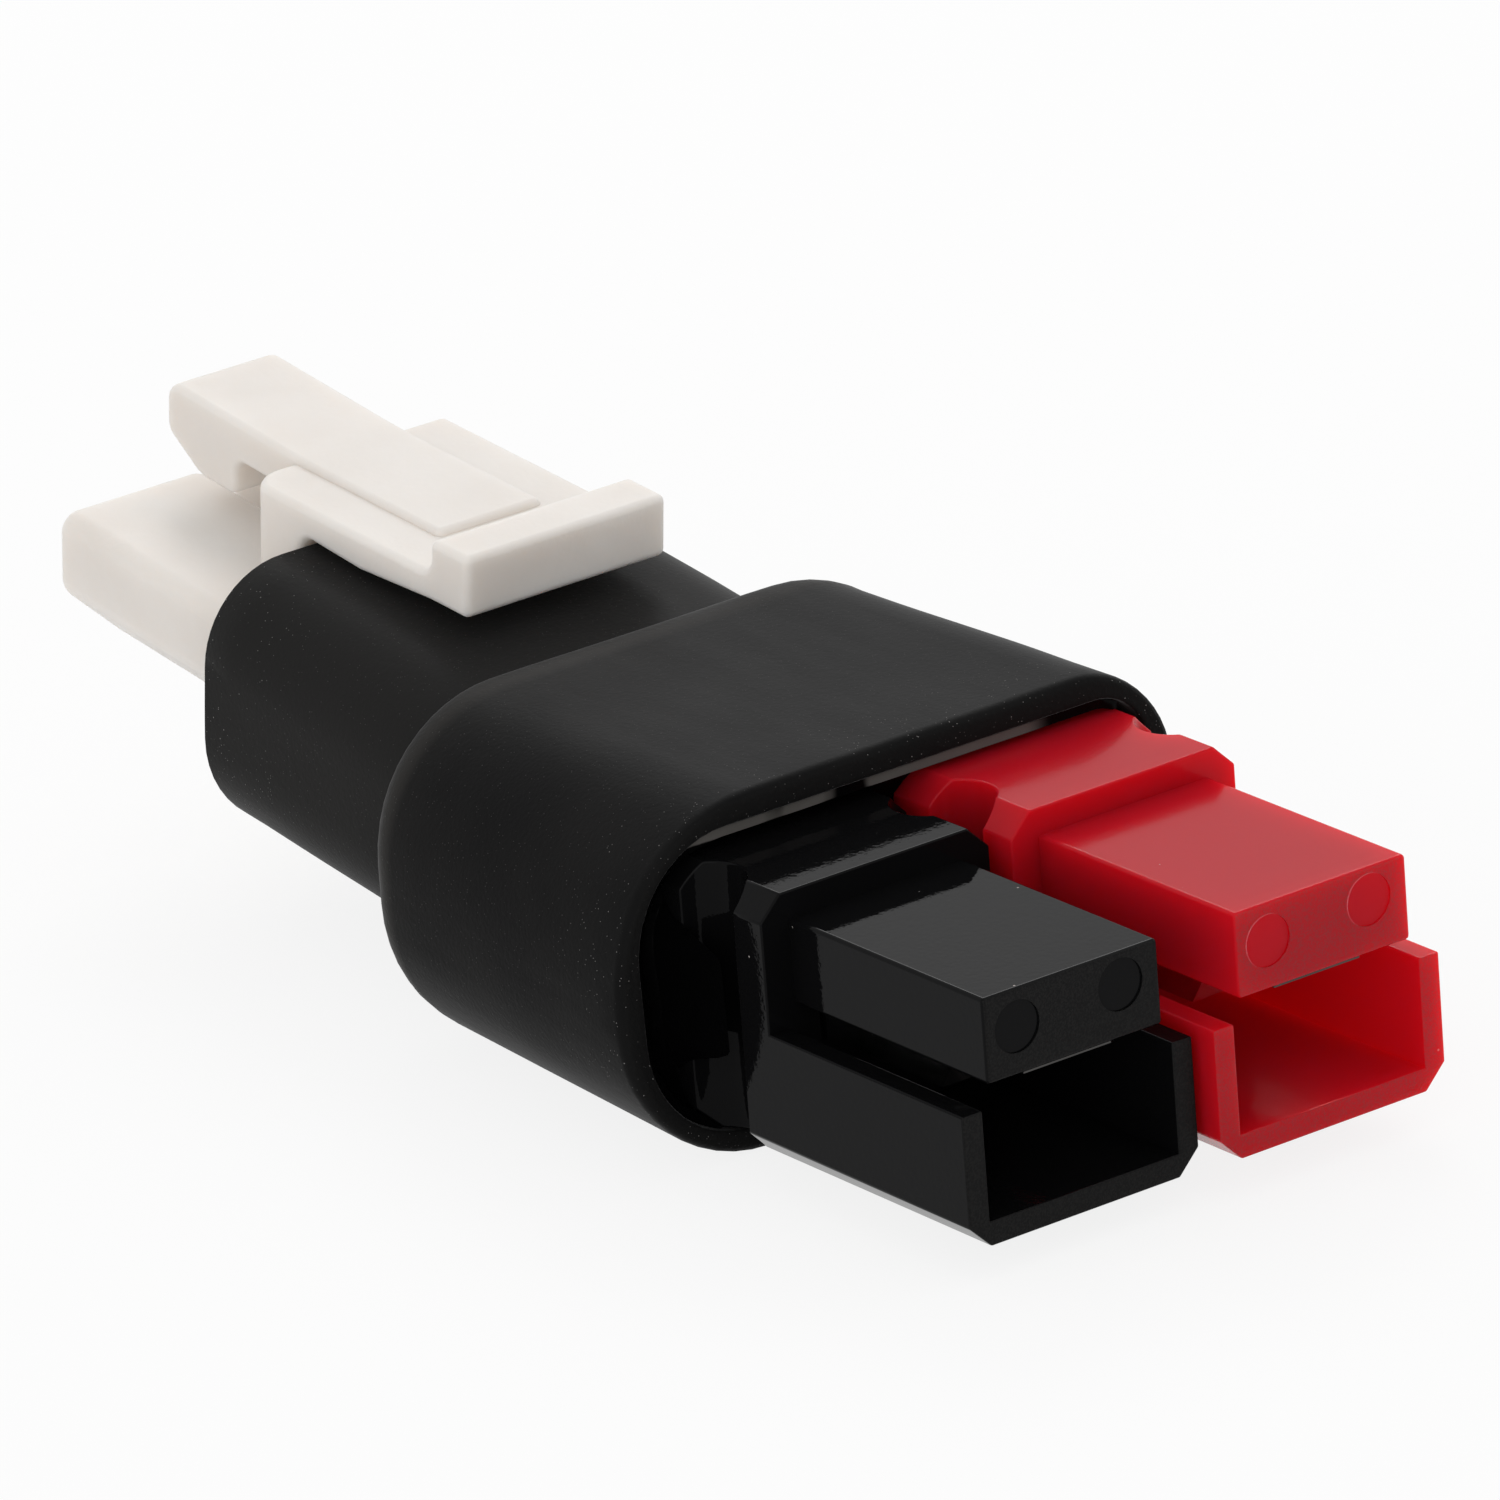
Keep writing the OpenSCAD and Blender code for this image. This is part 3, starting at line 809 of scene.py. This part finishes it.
@dataclass
class PowerHousing:
    """A genderless single-pole power housing: a body with a tongue above a hood."""

    name: str
    node: str
    place: tuple[float, float, float]
    width: float = 7.9
    length: float = 24.6
    nose: float = 8.6
    chamfer: float = 0.7
    hood_wall: float = 0.7
    hood_height: float = 3.95
    tongue_side: float = 0.95
    tongue_drop: float = 0.8
    tongue_thickness: float = 2.5
    groove_radius: float = 1.2
    groove_back: float = 2.5
    edge_r: float = 0.08
    tongue_edge_r: float = 0.12
    seam: float = 0.5
    mark_radius: float = 0.76
    mark_depth: float = 0.06
    marks: Sequence[Point] = ((-1.9, 6.0), (1.65, 6.15))
    slot_width: float = 4.4
    slot_low: float = 3.25
    bore_radius: float = 2.2
    bore_height: float = 3.8
    bore_front: float = -14.5

    def outline(self, grow: float = 0.0) -> list[Point]:
        """Gives the chamfered square section of the body, grown on all sides."""
        side = self.width / 2 + grow
        flat = side - self.chamfer
        middle = self.width / 2
        corners = ((flat, -side), (side, -flat), (side, flat), (flat, side),
                   (-flat, side), (-side, flat), (-side, -flat), (-flat, -side))
        return [(y, middle + z) for y, z in corners]

    def shell(self) -> Solid:
        """Makes the body and the hood in one, with its grooves."""
        top = self.width + self.seam
        inner = self.width / 2 - self.hood_wall
        groove_x = -self.nose - self.groove_back
        shell = Solid.prism(self.outline(), -self.length, 0)
        shell.cut(Solid.box((-self.nose, -self.width, self.hood_height), (self.seam, self.width, top)),
                  Solid.box((-self.nose, -inner, self.hood_wall), (self.seam, inner, top)))
        for side in (-1, 1):
            middle = (groove_x, side * self.width / 2)
            shell.cut(Solid.rod(middle, self.groove_radius, -self.seam, top, Axis.Z))
        return shell.rounded(self.edge_r)

    def tongue(self) -> Solid:
        """Makes the tongue, with the round marks on its front."""
        side = self.width / 2 - self.tongue_side
        high = self.width - self.tongue_drop
        low = high - self.tongue_thickness
        corners = [(-side, low), (side, low), (side, high), (-side, high)]
        tongue = Solid.prism(corners, -self.nose - self.seam, 0).rounded(self.tongue_edge_r)
        for centre in self.marks:
            tongue.cut(Solid.rod(centre, self.mark_radius, -self.mark_depth, self.seam))
        return tongue

    def cavity(self) -> list[Solid]:
        """Makes the way through for the contact: round behind, a slot in front."""
        half = self.slot_width / 2
        rear = -self.length - self.seam
        roof = self.width - self.tongue_drop - self.tongue_thickness
        slot_low = (self.bore_front - self.seam, -half, self.slot_low)
        return [Solid.rod((0, self.bore_height), self.bore_radius, rear, self.bore_front),
                Solid.box(slot_low, (-self.nose + self.seam, half, roof))]

    def build(self, layout: Layout, finish: Finish) -> bpy.types.Object:
        """Builds the housing in its place."""
        solid = self.shell().add(self.tongue()).cut(*self.cavity())
        solid.turned(layout.part() @ Matrix.Translation(self.place))
        return piece(solid, self.name, self.node, finish)


@dataclass
class BatteryPlug:
    """A two-prong polarised battery plug with a latch lever, in one moulding."""

    width: float = 12.3
    height: float = 7.0
    length: float = 8.8
    corner_r: float = 1.75
    pitch: float = 6.2
    nose: float = -18.0
    prong_half: float = 2.65
    prong_top: float = 2.3
    prong_low: float = -2.15
    prong_r: float = 0.6
    keel_shelf: float = -0.1
    keel_half: float = 0.5
    keel_r: float = 0.3
    edge_r: float = 0.3
    seam: float = 0.5
    lever_width: float = 7.1
    lever_edge_r: float = 0.24
    lever_front_r: float = 1.1
    lever_front_steps: int = 8
    latch_steps: int = 4
    lever: Sequence[Point] = (
        (-11.6, 1.8), (-11.6, 5.28), (-2.6, 5.751), (-2.6, 6.801), (-0.8, 6.895),
        (-0.8, 4.945), (-2.6, 4.851), (-6.0, 4.45), (-9.0, 4.45), (-9.0, 1.8))
    lever_corners: Sequence[tuple[int, float]] = ((2, 0.5), (8, 0.6))
    arm_width: float = 3.7
    arm_edge_r: float = 0.32
    arm: Sequence[Point] = (
        (-18.0, 3.9), (-16.37, 3.0), (-14.6, 3.0), (-14.6, 4.2), (-11.2, 4.2), (-4.6, 5.196),
        (-4.35, 5.646), (-4.6, 5.846), (-11.2, 5.5), (-18.0, 5.5))
    arm_corners: Sequence[tuple[int, float]] = (
        (0, 0.3), (1, 0.3), (2, 0.3), (3, 0.5), (7, 0.1), (8, 1.0), (9, 0.6))
    socket_rise: float = 0.33
    pin_radius: float = 1.35
    socket_radius: float = 1.6
    socket_front: float = -17.15
    socket_rear: float = -3.5
    entry_radius: float = 1.97

    def body(self) -> Solid:
        """Makes the body that the tube holds."""
        side, high = self.width / 2, self.height / 2
        corners = [(-side, -high), (side, -high), (side, high), (-side, high)]
        solid = Solid.prism(corners, -self.length, 0, corners=[(i, self.corner_r) for i in range(4)])
        return solid.rounded(self.edge_r)

    def prong(self, side: int) -> Solid:
        """Makes a prong; the one of the negative lead has bevels underneath."""
        half, top, low = self.prong_half, self.prong_top, self.prong_low
        if side < 0:
            outline = [(-half, top), (-half, self.keel_shelf), (-self.keel_half, low),
                       (self.keel_half, low), (half, self.keel_shelf), (half, top)]
        else:
            outline = [(-half, top), (-half, low), (half, low), (half, top)]
        moved = [(y + side * self.pitch / 2, z) for y, z in outline]
        rounding = [(i, self.prong_r if side > 0 or i in (0, 5) else self.keel_r)
                    for i in range(len(moved))]
        solid = Solid.prism(moved, self.nose, -self.length + self.seam, corners=rounding)
        return solid.rounded(self.edge_r)

    def latch(self) -> list[Solid]:
        """Makes the lever with its lip and one round front corner, and the arm with its rib and barb."""
        half = self.lever_width / 2
        lever = Solid.prism(self.lever, -half, half, Axis.Y, self.lever_corners)
        lever.rounded(self.lever_front_r, self.lever_front_steps, test=self.is_front_upright)
        lever.rounded(self.lever_edge_r, self.latch_steps)
        arm = Solid.prism(self.arm, -self.arm_width / 2, self.arm_width / 2, Axis.Y, self.arm_corners)
        return [lever, arm.rounded(self.arm_edge_r, self.latch_steps)]

    def is_front_upright(self, edge: bmesh.types.BMEdge) -> bool:
        """Tells whether an edge is the near upright edge at the lever's front."""
        front = self.lever[0][0] + self.seam / 2
        first, second = (vert.co for vert in edge.verts)
        return max(first.x, second.x) < front and first.y < 0 and abs(first.z - second.z) > self.seam

    def bores(self) -> list[Solid]:
        """Makes the ways in for the pins, the sockets and the leads."""
        made = []
        for side in (-1, 1):
            middle = (side * self.pitch / 2, self.socket_rise)
            made += [Solid.rod(middle, self.pin_radius, self.nose - self.seam, -self.length),
                     Solid.rod(middle, self.socket_radius, self.socket_front, -self.seam),
                     Solid.rod(middle, self.entry_radius, self.socket_rear, self.seam)]
        return made

    def build(self, layout: Layout, finish: Finish) -> bpy.types.Object:
        """Builds the plug in its place."""
        solid = self.body().add(self.prong(-1), self.prong(1), *self.latch()).cut(*self.bores())
        solid.turned(layout.part() @ layout.plug())
        return piece(solid, "battery_plug", "plug_housing", finish)


@dataclass
class ShrinkTube:
    """Shrink tube, wide over the housings and stepped down over the plug."""

    layout: Layout
    mouth_x: float = -12.4
    mouth_lean: float = 0.0419
    waist_x: float = -25.2
    shoulder_x: float = -24.3
    shoulder_length: float = 3.2
    tail: float = -8.8
    axis_z: float = 3.95
    mouth: Section = Section(-10.65, 9.0, -5.1, 5.25, 5.0, 3.2, 4.6)
    waist: Section = Section(-10.0, 8.65, -5.1, 5.25, 4.464, 3.6, 4.8)
    narrow: Section = Section(-7.1, 6.95, -4.5, 4.18, 2.8, 3.6, 3.6)
    mouth_bore: Section = Section(-9.85, 8.05, -4.3, 4.45, 3.24, 1.661, 3.24)
    waist_bore: Section = Section(-9.2, 8.05, -4.3, 4.45, 2.464, 1.661, 2.464)
    narrow_bore: Section = Section(-6.2, 6.2, -3.55, 3.55, 1.8, 1.8, 1.8)
    mouth_cut_r: float = 0.36
    tail_cut_r: float = 0.1
    corner_steps: int = 12
    flat_cuts: int = 9
    side_cuts: int = 3
    shoulder_steps: int = 20
    wide_steps: int = 14
    narrow_steps: int = 8
    sag: float = 0.04
    sag_size: float = 3.5
    sag_from: float = -0.6
    sag_fade: float = 2.0
    bore_start: float = 3.0
    rear_room: float = 0.05
    eased: Sequence[Point] = (
        (0.02, 0.72), (0.06, 0.46), (0.14, 0.22), (0.28, 0.06), (0.42, 0.0), (0.54, -0.02),
        (0.66, -0.03), (0.78, -0.02), (0.88, 0.0), (0.95, 0.08), (1.0, 0.25))

    def setting(self, x: float, z: float, tilt: float) -> Matrix:
        """Gives the matrix from a flat section to its place on the tube's path."""
        across = Matrix.Rotation(math.radians(tilt), 4, "Y") @ Axis.X.matrix()
        return Matrix.Translation((x, 0, z)) @ across

    def ring(self, solid: Solid, section: Section, place: Matrix) -> list[bmesh.types.BMEdge]:
        """Adds a ring of edges round a section.

        Args:
            solid: The solid that gets the ring.
            section: The section.
            place: Matrix from the flat section to its place.

        Returns:
            The ring's edges.
        """
        bm = solid.bm
        corners = [(section.near, section.low), (section.far, section.low),
                   (section.far, section.high), (section.near, section.high)]
        points = [bm.verts.new((y, z, 0)) for y, z in corners]
        bm.faces.new(points)
        for index, radius in enumerate((section.foot_r, section.far_r, section.far_r, section.near_r)):
            bmesh.ops.bevel(bm, geom=[points[index]], offset=radius, offset_type="OFFSET",
                            segments=self.corner_steps, profile=0.5, affect="VERTICES", material=-1,
                            clamp_overlap=False)
        sheet = self.loose_sheet(bm)
        for edge in [edge for edge in sheet.edges if self.is_flat(edge)]:
            level = abs(edge.verts[0].co.y - edge.verts[1].co.y) < LEVEL
            bmesh.ops.subdivide_edges(bm, edges=[edge], cuts=self.flat_cuts if level else self.side_cuts)
        sheet = self.loose_sheet(bm)
        bmesh.ops.transform(bm, matrix=place, verts=sheet.verts)
        edges = list(sheet.edges)
        bmesh.ops.delete(bm, geom=[sheet], context="FACES_ONLY")
        return edges

    @staticmethod
    def loose_sheet(bm: bmesh.types.BMesh) -> bmesh.types.BMFace:
        """Finds the flat face that isn't joined to any other yet."""
        return next(face for face in bm.faces if all(len(edge.link_faces) == 1 for edge in face.edges))

    @staticmethod
    def is_flat(edge: bmesh.types.BMEdge) -> bool:
        """Tells whether an edge of a flat section is one of its four straight sides."""
        step = edge.verts[0].co - edge.verts[1].co
        return min(abs(step.x), abs(step.y)) < LEVEL

    def wide_place(self, x: float) -> Matrix:
        """Gives the setting of a ring of the wide end, which leans back at its mouth.

        Args:
            x: Where the ring's low side is.

        Returns:
            The matrix from a flat section to its place.
        """
        lean = self.mouth_lean * (x - self.waist_x) / (self.mouth_x - self.waist_x)
        along = (0, -lean, 1, x + lean * self.mouth.low)
        return Matrix((along, (1, 0, 0, 0), (0, 1, 0, self.axis_z), (0, 0, 0, 1)))

    def narrow_place(self, x: float) -> Matrix:
        """Gives the setting of a ring in the plug's frame."""
        point = self.layout.plug() @ Vector((x, 0, 0))
        return self.setting(point.x, point.z, self.layout.bend)

    def neck(self) -> float:
        """Gives where the shoulder ends, in the plug's frame."""
        run = self.shoulder_x - self.shoulder_length - self.layout.plug_origin[0]
        return run / math.cos(math.radians(self.layout.bend))

    def shoulder(self) -> list[tuple[Section, Matrix]]:
        """Gives the rings over the shoulder's round rim, down its step and into its hollow."""
        start = Vector((self.shoulder_x, 0, self.axis_z))
        end = self.layout.plug() @ Vector((self.neck(), 0, 0))
        rings = []
        for step in range(1, self.shoulder_steps + 1):
            angle = math.pi * step / self.shoulder_steps
            swing = math.sin(angle) / 2
            share = swing if angle <= math.pi / 2 else 1 - swing
            down = (1 - math.cos(angle)) / 2
            point = start.lerp(end, share)
            place = self.setting(point.x, point.z, self.layout.bend * down)
            rings.append((self.waist.between(self.narrow, down), place))
        return rings

    def outside(self) -> list[tuple[Section, Matrix]]:
        """Gives the rings of the outside, from the mouth to the narrow end."""
        rings = []
        start = self.mouth_x - self.mouth_cut_r
        for step in range(self.wide_steps):
            share = step / (self.wide_steps - 1)
            x = start + (self.shoulder_x - start) * share
            rings.append((self.mouth.between(self.waist, share), self.wide_place(x)))
        rings += self.shoulder()
        for step in range(1, self.narrow_steps + 1):
            x = self.neck() + (self.tail + self.tail_cut_r - self.neck()) * step / self.narrow_steps
            rings.append((self.narrow, self.narrow_place(x)))
        return rings

    def cut_edge(self, outer: Section, inner: Section, place: Callable[[float], Matrix],
                 end: float, ease: float) -> list[tuple[Section, Matrix]]:
        """Gives the rings over a cut end with eased edges, from the outside in.

        Args:
            outer: Outside section.
            inner: Section of the bore.
            place: Gives the setting of a ring at a distance along the tube.
            end: Where the cut is.
            ease: How far back the outer edge is eased, with the sign of the way back.

        Returns:
            The rings.
        """
        return [(outer.between(inner, share), place(end + ease * depth)) for share, depth in self.eased]

    def build(self, finish: Finish) -> bpy.types.Object:
        """Builds the tube in its place."""
        solid = Solid()
        outside = self.outside()
        tail_edge = self.cut_edge(self.narrow, self.narrow_bore, self.narrow_place,
                                  self.tail, self.tail_cut_r)
        inside = [(self.narrow_bore, self.narrow_place(self.bore_start)),
                  (self.waist_bore, self.setting(self.waist_x - self.rear_room, self.axis_z, 0))]
        mouth_edge = self.cut_edge(self.mouth, self.mouth_bore, self.wide_place,
                                   self.mouth_x, -self.mouth_cut_r)
        rings = [self.ring(solid, *spot) for spot in outside + tail_edge + inside + mouth_edge[::-1]]
        solid.bridged(rings + rings[:1]).outward()
        self.slacken(solid)
        solid.turned(self.layout.part())
        return piece(solid, "shrink_sleeve", "shrink_tube", finish)

    def slacken(self, solid: Solid) -> None:
        """Lets the outer skin wave softly, away from the base."""
        solid.bm.normal_update()
        for vert in solid.bm.verts:
            outer = (vert.co.z - self.axis_z) * vert.normal.z + vert.co.y * vert.normal.y > 0
            clear = min(max((vert.co.z - self.sag_from) / self.sag_fade, 0), 1)
            if outer:
                vert.co += vert.normal * self.sag * clear * noise.noise(vert.co / self.sag_size)


@dataclass
class AdhesiveLining:
    """Hot-melt lining in the tube's mouth, hollowed between the tube and the housings."""

    tube: ShrinkTube
    layout: Layout
    length: float = 6.0
    bond: float = 0.03
    hollow: Sequence[tuple[float, float, float]] = (
        (0.03, 0.14, 0.14), (0.3, 0.16, 0.3), (0.34, 0.3, 0.4), (0.4, 0.6, 0.65), (0.6, 0.9, 0.9),
        (0.85, 1.0, 1.0), (1.1, 1.05, 0.95), (1.3, 1.1, 0.6), (1.42, 1.1, 0.0), (1.5, 1.1, -0.8),
        (1.56, 1.1, -1.5), (1.7, 1.1, -1.55), (2.6, 1.1, 1.1))
    pocket: Point = (-8.1, -7.2)
    ripple: float = 0.1
    ripple_size: float = 1.1

    def front(self, vert: bmesh.types.BMVert, above: float, beside: float) -> None:
        """Sets how deep a point of the front lies in the mouth.

        Args:
            vert: The point.
            above: Its depth above the housings.
            beside: Its depth in the pocket beside the near housing.
        """
        near, clear = self.pocket
        share = min(max((clear - vert.co.y) / (clear - near), 0), 1)
        depth = above + (beside - above) * share
        wave = self.ripple * noise.noise(vert.co / self.ripple_size) * min(max(depth, 0), 1)
        vert.co.x += wave - depth

    def plug(self) -> Solid:
        """Fills the mouth with a plug whose front is hollow above the housings and climbs the near one."""
        tube = self.tube
        solid = Solid()
        span = tube.mouth_x - tube.waist_x
        rear_depth = self.length + self.hollow[0][1]
        rear = tube.mouth_bore.between(tube.waist_bore, rear_depth / span).inset(self.bond)
        rings = [tube.ring(solid, rear, tube.setting(tube.mouth_x - rear_depth, tube.axis_z, 0))]
        for inset, above, beside in self.hollow:
            section = tube.mouth_bore.between(tube.waist_bore, max(above, 0) / span).inset(inset)
            ring = tube.ring(solid, section, tube.wide_place(tube.mouth_x))
            for vert in {vert for edge in ring for vert in edge.verts}:
                self.front(vert, above, beside)
            rings.append(ring)
        solid.bridged(rings)
        for ring in (rings[0], rings[-1]):
            bmesh.ops.contextual_create(solid.bm, geom=ring)
        return solid.outward()

    def build(self, housings: Sequence[PowerHousing], finish: Finish) -> bpy.types.Object:
        """Builds the lining round the housings in its place."""
        solid = self.plug()
        for housing in housings:
            way = Solid.prism(housing.outline(self.bond), -housing.length, 0)
            solid.cut(way.turned(Matrix.Translation(housing.place)))
        near, far = housings
        width = near.width
        under = near.place[1] - width / 2 + near.chamfer
        beyond = far.place[1] + width / 2 - far.chamfer
        solid.cut(Solid.box((-near.length, under, -width), (0, under + 3 * width, 0)),
                  Solid.box((-near.length, beyond, -width), (0, beyond + width, 2 * width)))
        solid.turned(self.layout.part())
        return piece(solid, "adhesive_lining", "adhesive", finish)


@dataclass
class InnerHardware:
    """The metal and the leads inside, which keep the shape of the frame's own nodes."""

    silver: Finish
    steel: Finish
    copper: Finish
    black_lead: Finish
    red_lead: Finish
    brass: Finish

    def dress(self, nodes: dict[str, bpy.types.Object]) -> None:
        """Gives each node of the frame its finish."""
        pairs = ((self.silver, ("negative_contact", "positive_contact")),
                 (self.steel, ("negative_spring", "positive_spring")),
                 (self.copper, ("negative_conductor", "positive_conductor")),
                 (self.black_lead, ("negative_insulation",)),
                 (self.red_lead, ("positive_insulation",)),
                 (self.brass, ("negative_socket", "positive_socket")))
        for finish, names in pairs:
            material = finish.material()
            for name in names:
                nodes[name].data.materials.clear()
                nodes[name].data.materials.append(material)
                LOG.info("%s: dressed", name)


@dataclass(frozen=True)
class SoftBox:
    """A square soft light that faces the part."""

    name: str
    azimuth: float
    elevation: float
    distance: float
    size: float
    power: float


def direction(azimuth: float, elevation: float) -> Vector:
    """Gives the direction from the part to a place round it."""
    turn, lift = math.radians(azimuth), math.radians(elevation)
    return Vector((math.sin(turn) * math.cos(lift), -math.cos(turn) * math.cos(lift), math.sin(lift)))


@dataclass
class Studio:
    """White floor, soft light and the photograph's camera."""

    floor_half: float = 1.5
    floor_gap: float = 0.00003
    floor_colour: Colour = (0.95, 0.95, 0.95)
    white_share: float = 0.85
    ambient: float = 0.68
    middle: tuple[float, float, float] = (0.0, 0.0, 0.005)
    lights: Sequence[SoftBox] = (
        SoftBox("top_light", 200.0, 70.0, 0.6, 0.5, 0.25),
        SoftBox("rear_light", 230.0, 39.0, 0.6, 0.25, 0.78),
        SoftBox("side_light", 38.0, 18.0, 0.6, 0.4, 0.6),
    )
    target: tuple[float, float, float] = (1.06097, 2.1831, 7.05408)
    distance: float = 407.891
    azimuth: float = 54.5681
    elevation: float = 20.8345
    roll: float = -4.4245
    lens: float = 346.55
    sensor: float = 36.0
    clip: Point = (0.01, 20.0)

    def lay_floor(self) -> None:
        """Lays the floor, which is white to the camera and still takes the part's shadow."""
        solid = Solid()
        bmesh.ops.create_grid(solid.bm, x_segments=1, y_segments=1, size=self.floor_half,
                              matrix=Matrix.Translation((0, 0, -self.floor_gap)))
        floor = solid.as_object("floor", 1.0)
        material = bpy.data.materials.new("floor_white")
        material.use_nodes = True
        graph = Graph(material.node_tree)
        lit = graph.node("ShaderNodeBsdfDiffuse", sockets={"Color": (*self.floor_colour, 1.0)})
        white = graph.node("ShaderNodeEmission", sockets={"Strength": 1.0})
        mixed = graph.node("ShaderNodeMixShader", sockets={0: graph.seen() * self.white_share,
                                                           1: lit.outputs[0], 2: white.outputs[0]})
        graph.node("ShaderNodeOutputMaterial", sockets={"Surface": mixed.outputs[0]})
        floor.data.materials.append(material)

    def light(self) -> None:
        """Sets the white surroundings and the soft lights."""
        world = bpy.data.worlds.new("studio")
        world.use_nodes = True
        graph = Graph(world.node_tree)
        soft = graph.node("ShaderNodeBackground", sockets={"Strength": self.ambient})
        white = graph.node("ShaderNodeBackground", sockets={"Strength": 1.0})
        for background in (soft, white):
            background.inputs["Color"].default_value = (1, 1, 1, 1)
        mixed = graph.node("ShaderNodeMixShader", sockets={0: graph.seen(), 1: soft.outputs[0],
                                                           2: white.outputs[0]})
        graph.node("ShaderNodeOutputWorld", sockets={"Surface": mixed.outputs[0]})
        bpy.context.scene.world = world
        for box in self.lights:
            lamp = bpy.data.lights.new(box.name, "AREA")
            lamp.size = box.size
            lamp.energy = box.power
            made = bpy.data.objects.new(box.name, lamp)
            away = direction(box.azimuth, box.elevation)
            made.location = Vector(self.middle) + away * box.distance
            made.rotation_euler = away.to_track_quat("Z", "Y").to_euler()
            bpy.context.scene.collection.objects.link(made)

    def set_camera(self) -> None:
        """Sets the camera at the photograph's viewpoint."""
        back = direction(self.azimuth, self.elevation)
        level = Vector((0, 0, 1)).cross(back).normalized()
        turn = math.radians(self.roll)
        right = level * math.cos(turn) + back.cross(level) * math.sin(turn)
        axes = Matrix((right, back.cross(right), back)).transposed()
        data = bpy.data.cameras.new("photo_camera")
        data.sensor_fit = "HORIZONTAL"
        data.sensor_width = self.sensor
        data.lens = self.lens
        data.clip_start, data.clip_end = self.clip
        camera = bpy.data.objects.new("photo_camera", data)
        place = (Vector(self.target) + back * self.distance) * MM
        camera.matrix_world = Matrix.Translation(place) @ axes.to_4x4()
        bpy.context.scene.collection.objects.link(camera)
        bpy.context.scene.camera = camera


def main() -> None:
    """Builds every piece of the part and the studio round it."""
    logging.basicConfig(level=logging.INFO, format="%(message)s")
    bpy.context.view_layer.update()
    bpy.context.scene.view_settings.view_transform = "Standard"
    studio = Studio()
    studio.set_camera()
    studio.lay_floor()
    studio.light()
    layout = Layout()
    negative = PowerHousing("black_power_housing", "negative_housing", (-0.6, -4.25, -0.2))
    positive = PowerHousing("red_power_housing", "positive_housing", (0.0, 3.95, 0.0))
    black = GlossPlastic("black_polycarbonate", (0.004, 0.004, 0.0043), (0.012, 0.0117, 0.0114),
                         front=22.846)
    negative.build(layout, black)
    red = GlossPlastic("red_polycarbonate", (0.47, 0.006, 0.014), (0.3, 0.03, 0.035), front=23.446,
                       roughness=0.13, specular=0.07, scatter=0.85)
    positive.build(layout, red)
    BatteryPlug().build(layout, ClearNylon("white_nylon", (0.83, 0.785, 0.74), (0.8, 0.75, 0.7)))
    tube = ShrinkTube(layout)
    shrunk = ShrunkTube("black_shrink", (0.006, 0.006, 0.0061), (0.01, 0.0098, 0.0096),
                        # The next two colours are painted light: the narrow end's lighter colour and the
                        # shoulder rim's highlight.
                        (0.017, 0.0166, 0.0162), (0.024, 0.0228, 0.0216), mouth=11.046,
                        lean=tube.mouth_lean, step=-1.0, tail=-14.0)
    tube.build(shrunk)
    # The hot melt's second colour is the paler strip under the top of the tube.
    lining = HotMelt("hot_melt", (0.0015, 0.0015, 0.0016), (0.1, 0.094, 0.088), strip_above=9.22,
                     strip_near=-6.6, strip_far=4.8, cut_at=10.45)
    AdhesiveLining(tube, layout).build((negative, positive), lining)
    InnerHardware(
        silver=DrawnMetal("silver_plate", (0.8, 0.79, 0.77), (0.6, 0.57, 0.52), 0.1),
        # The spring steel is painted dark as painted shade: only a sliver of each spring shows, in the
        # shade under its tongue.
        steel=DrawnMetal("spring_steel", (0.07, 0.068, 0.066), (0.04, 0.038, 0.036), 0.25),
        copper=Strands("copper_strand", (0.72, 0.37, 0.22), (0.35, 0.15, 0.08)),
        black_lead=SoftInsulation("black_insulation", (0.025, 0.025, 0.027), (0.06, 0.06, 0.06)),
        red_lead=SoftInsulation("red_insulation", (0.5, 0.03, 0.03), (0.6, 0.12, 0.1)),
        brass=DrawnMetal("tinned_brass", (0.75, 0.68, 0.5), (0.6, 0.5, 0.33), 0.28),
    ).dress(frame["nodes"])


if __name__ == "__main__":
    main()
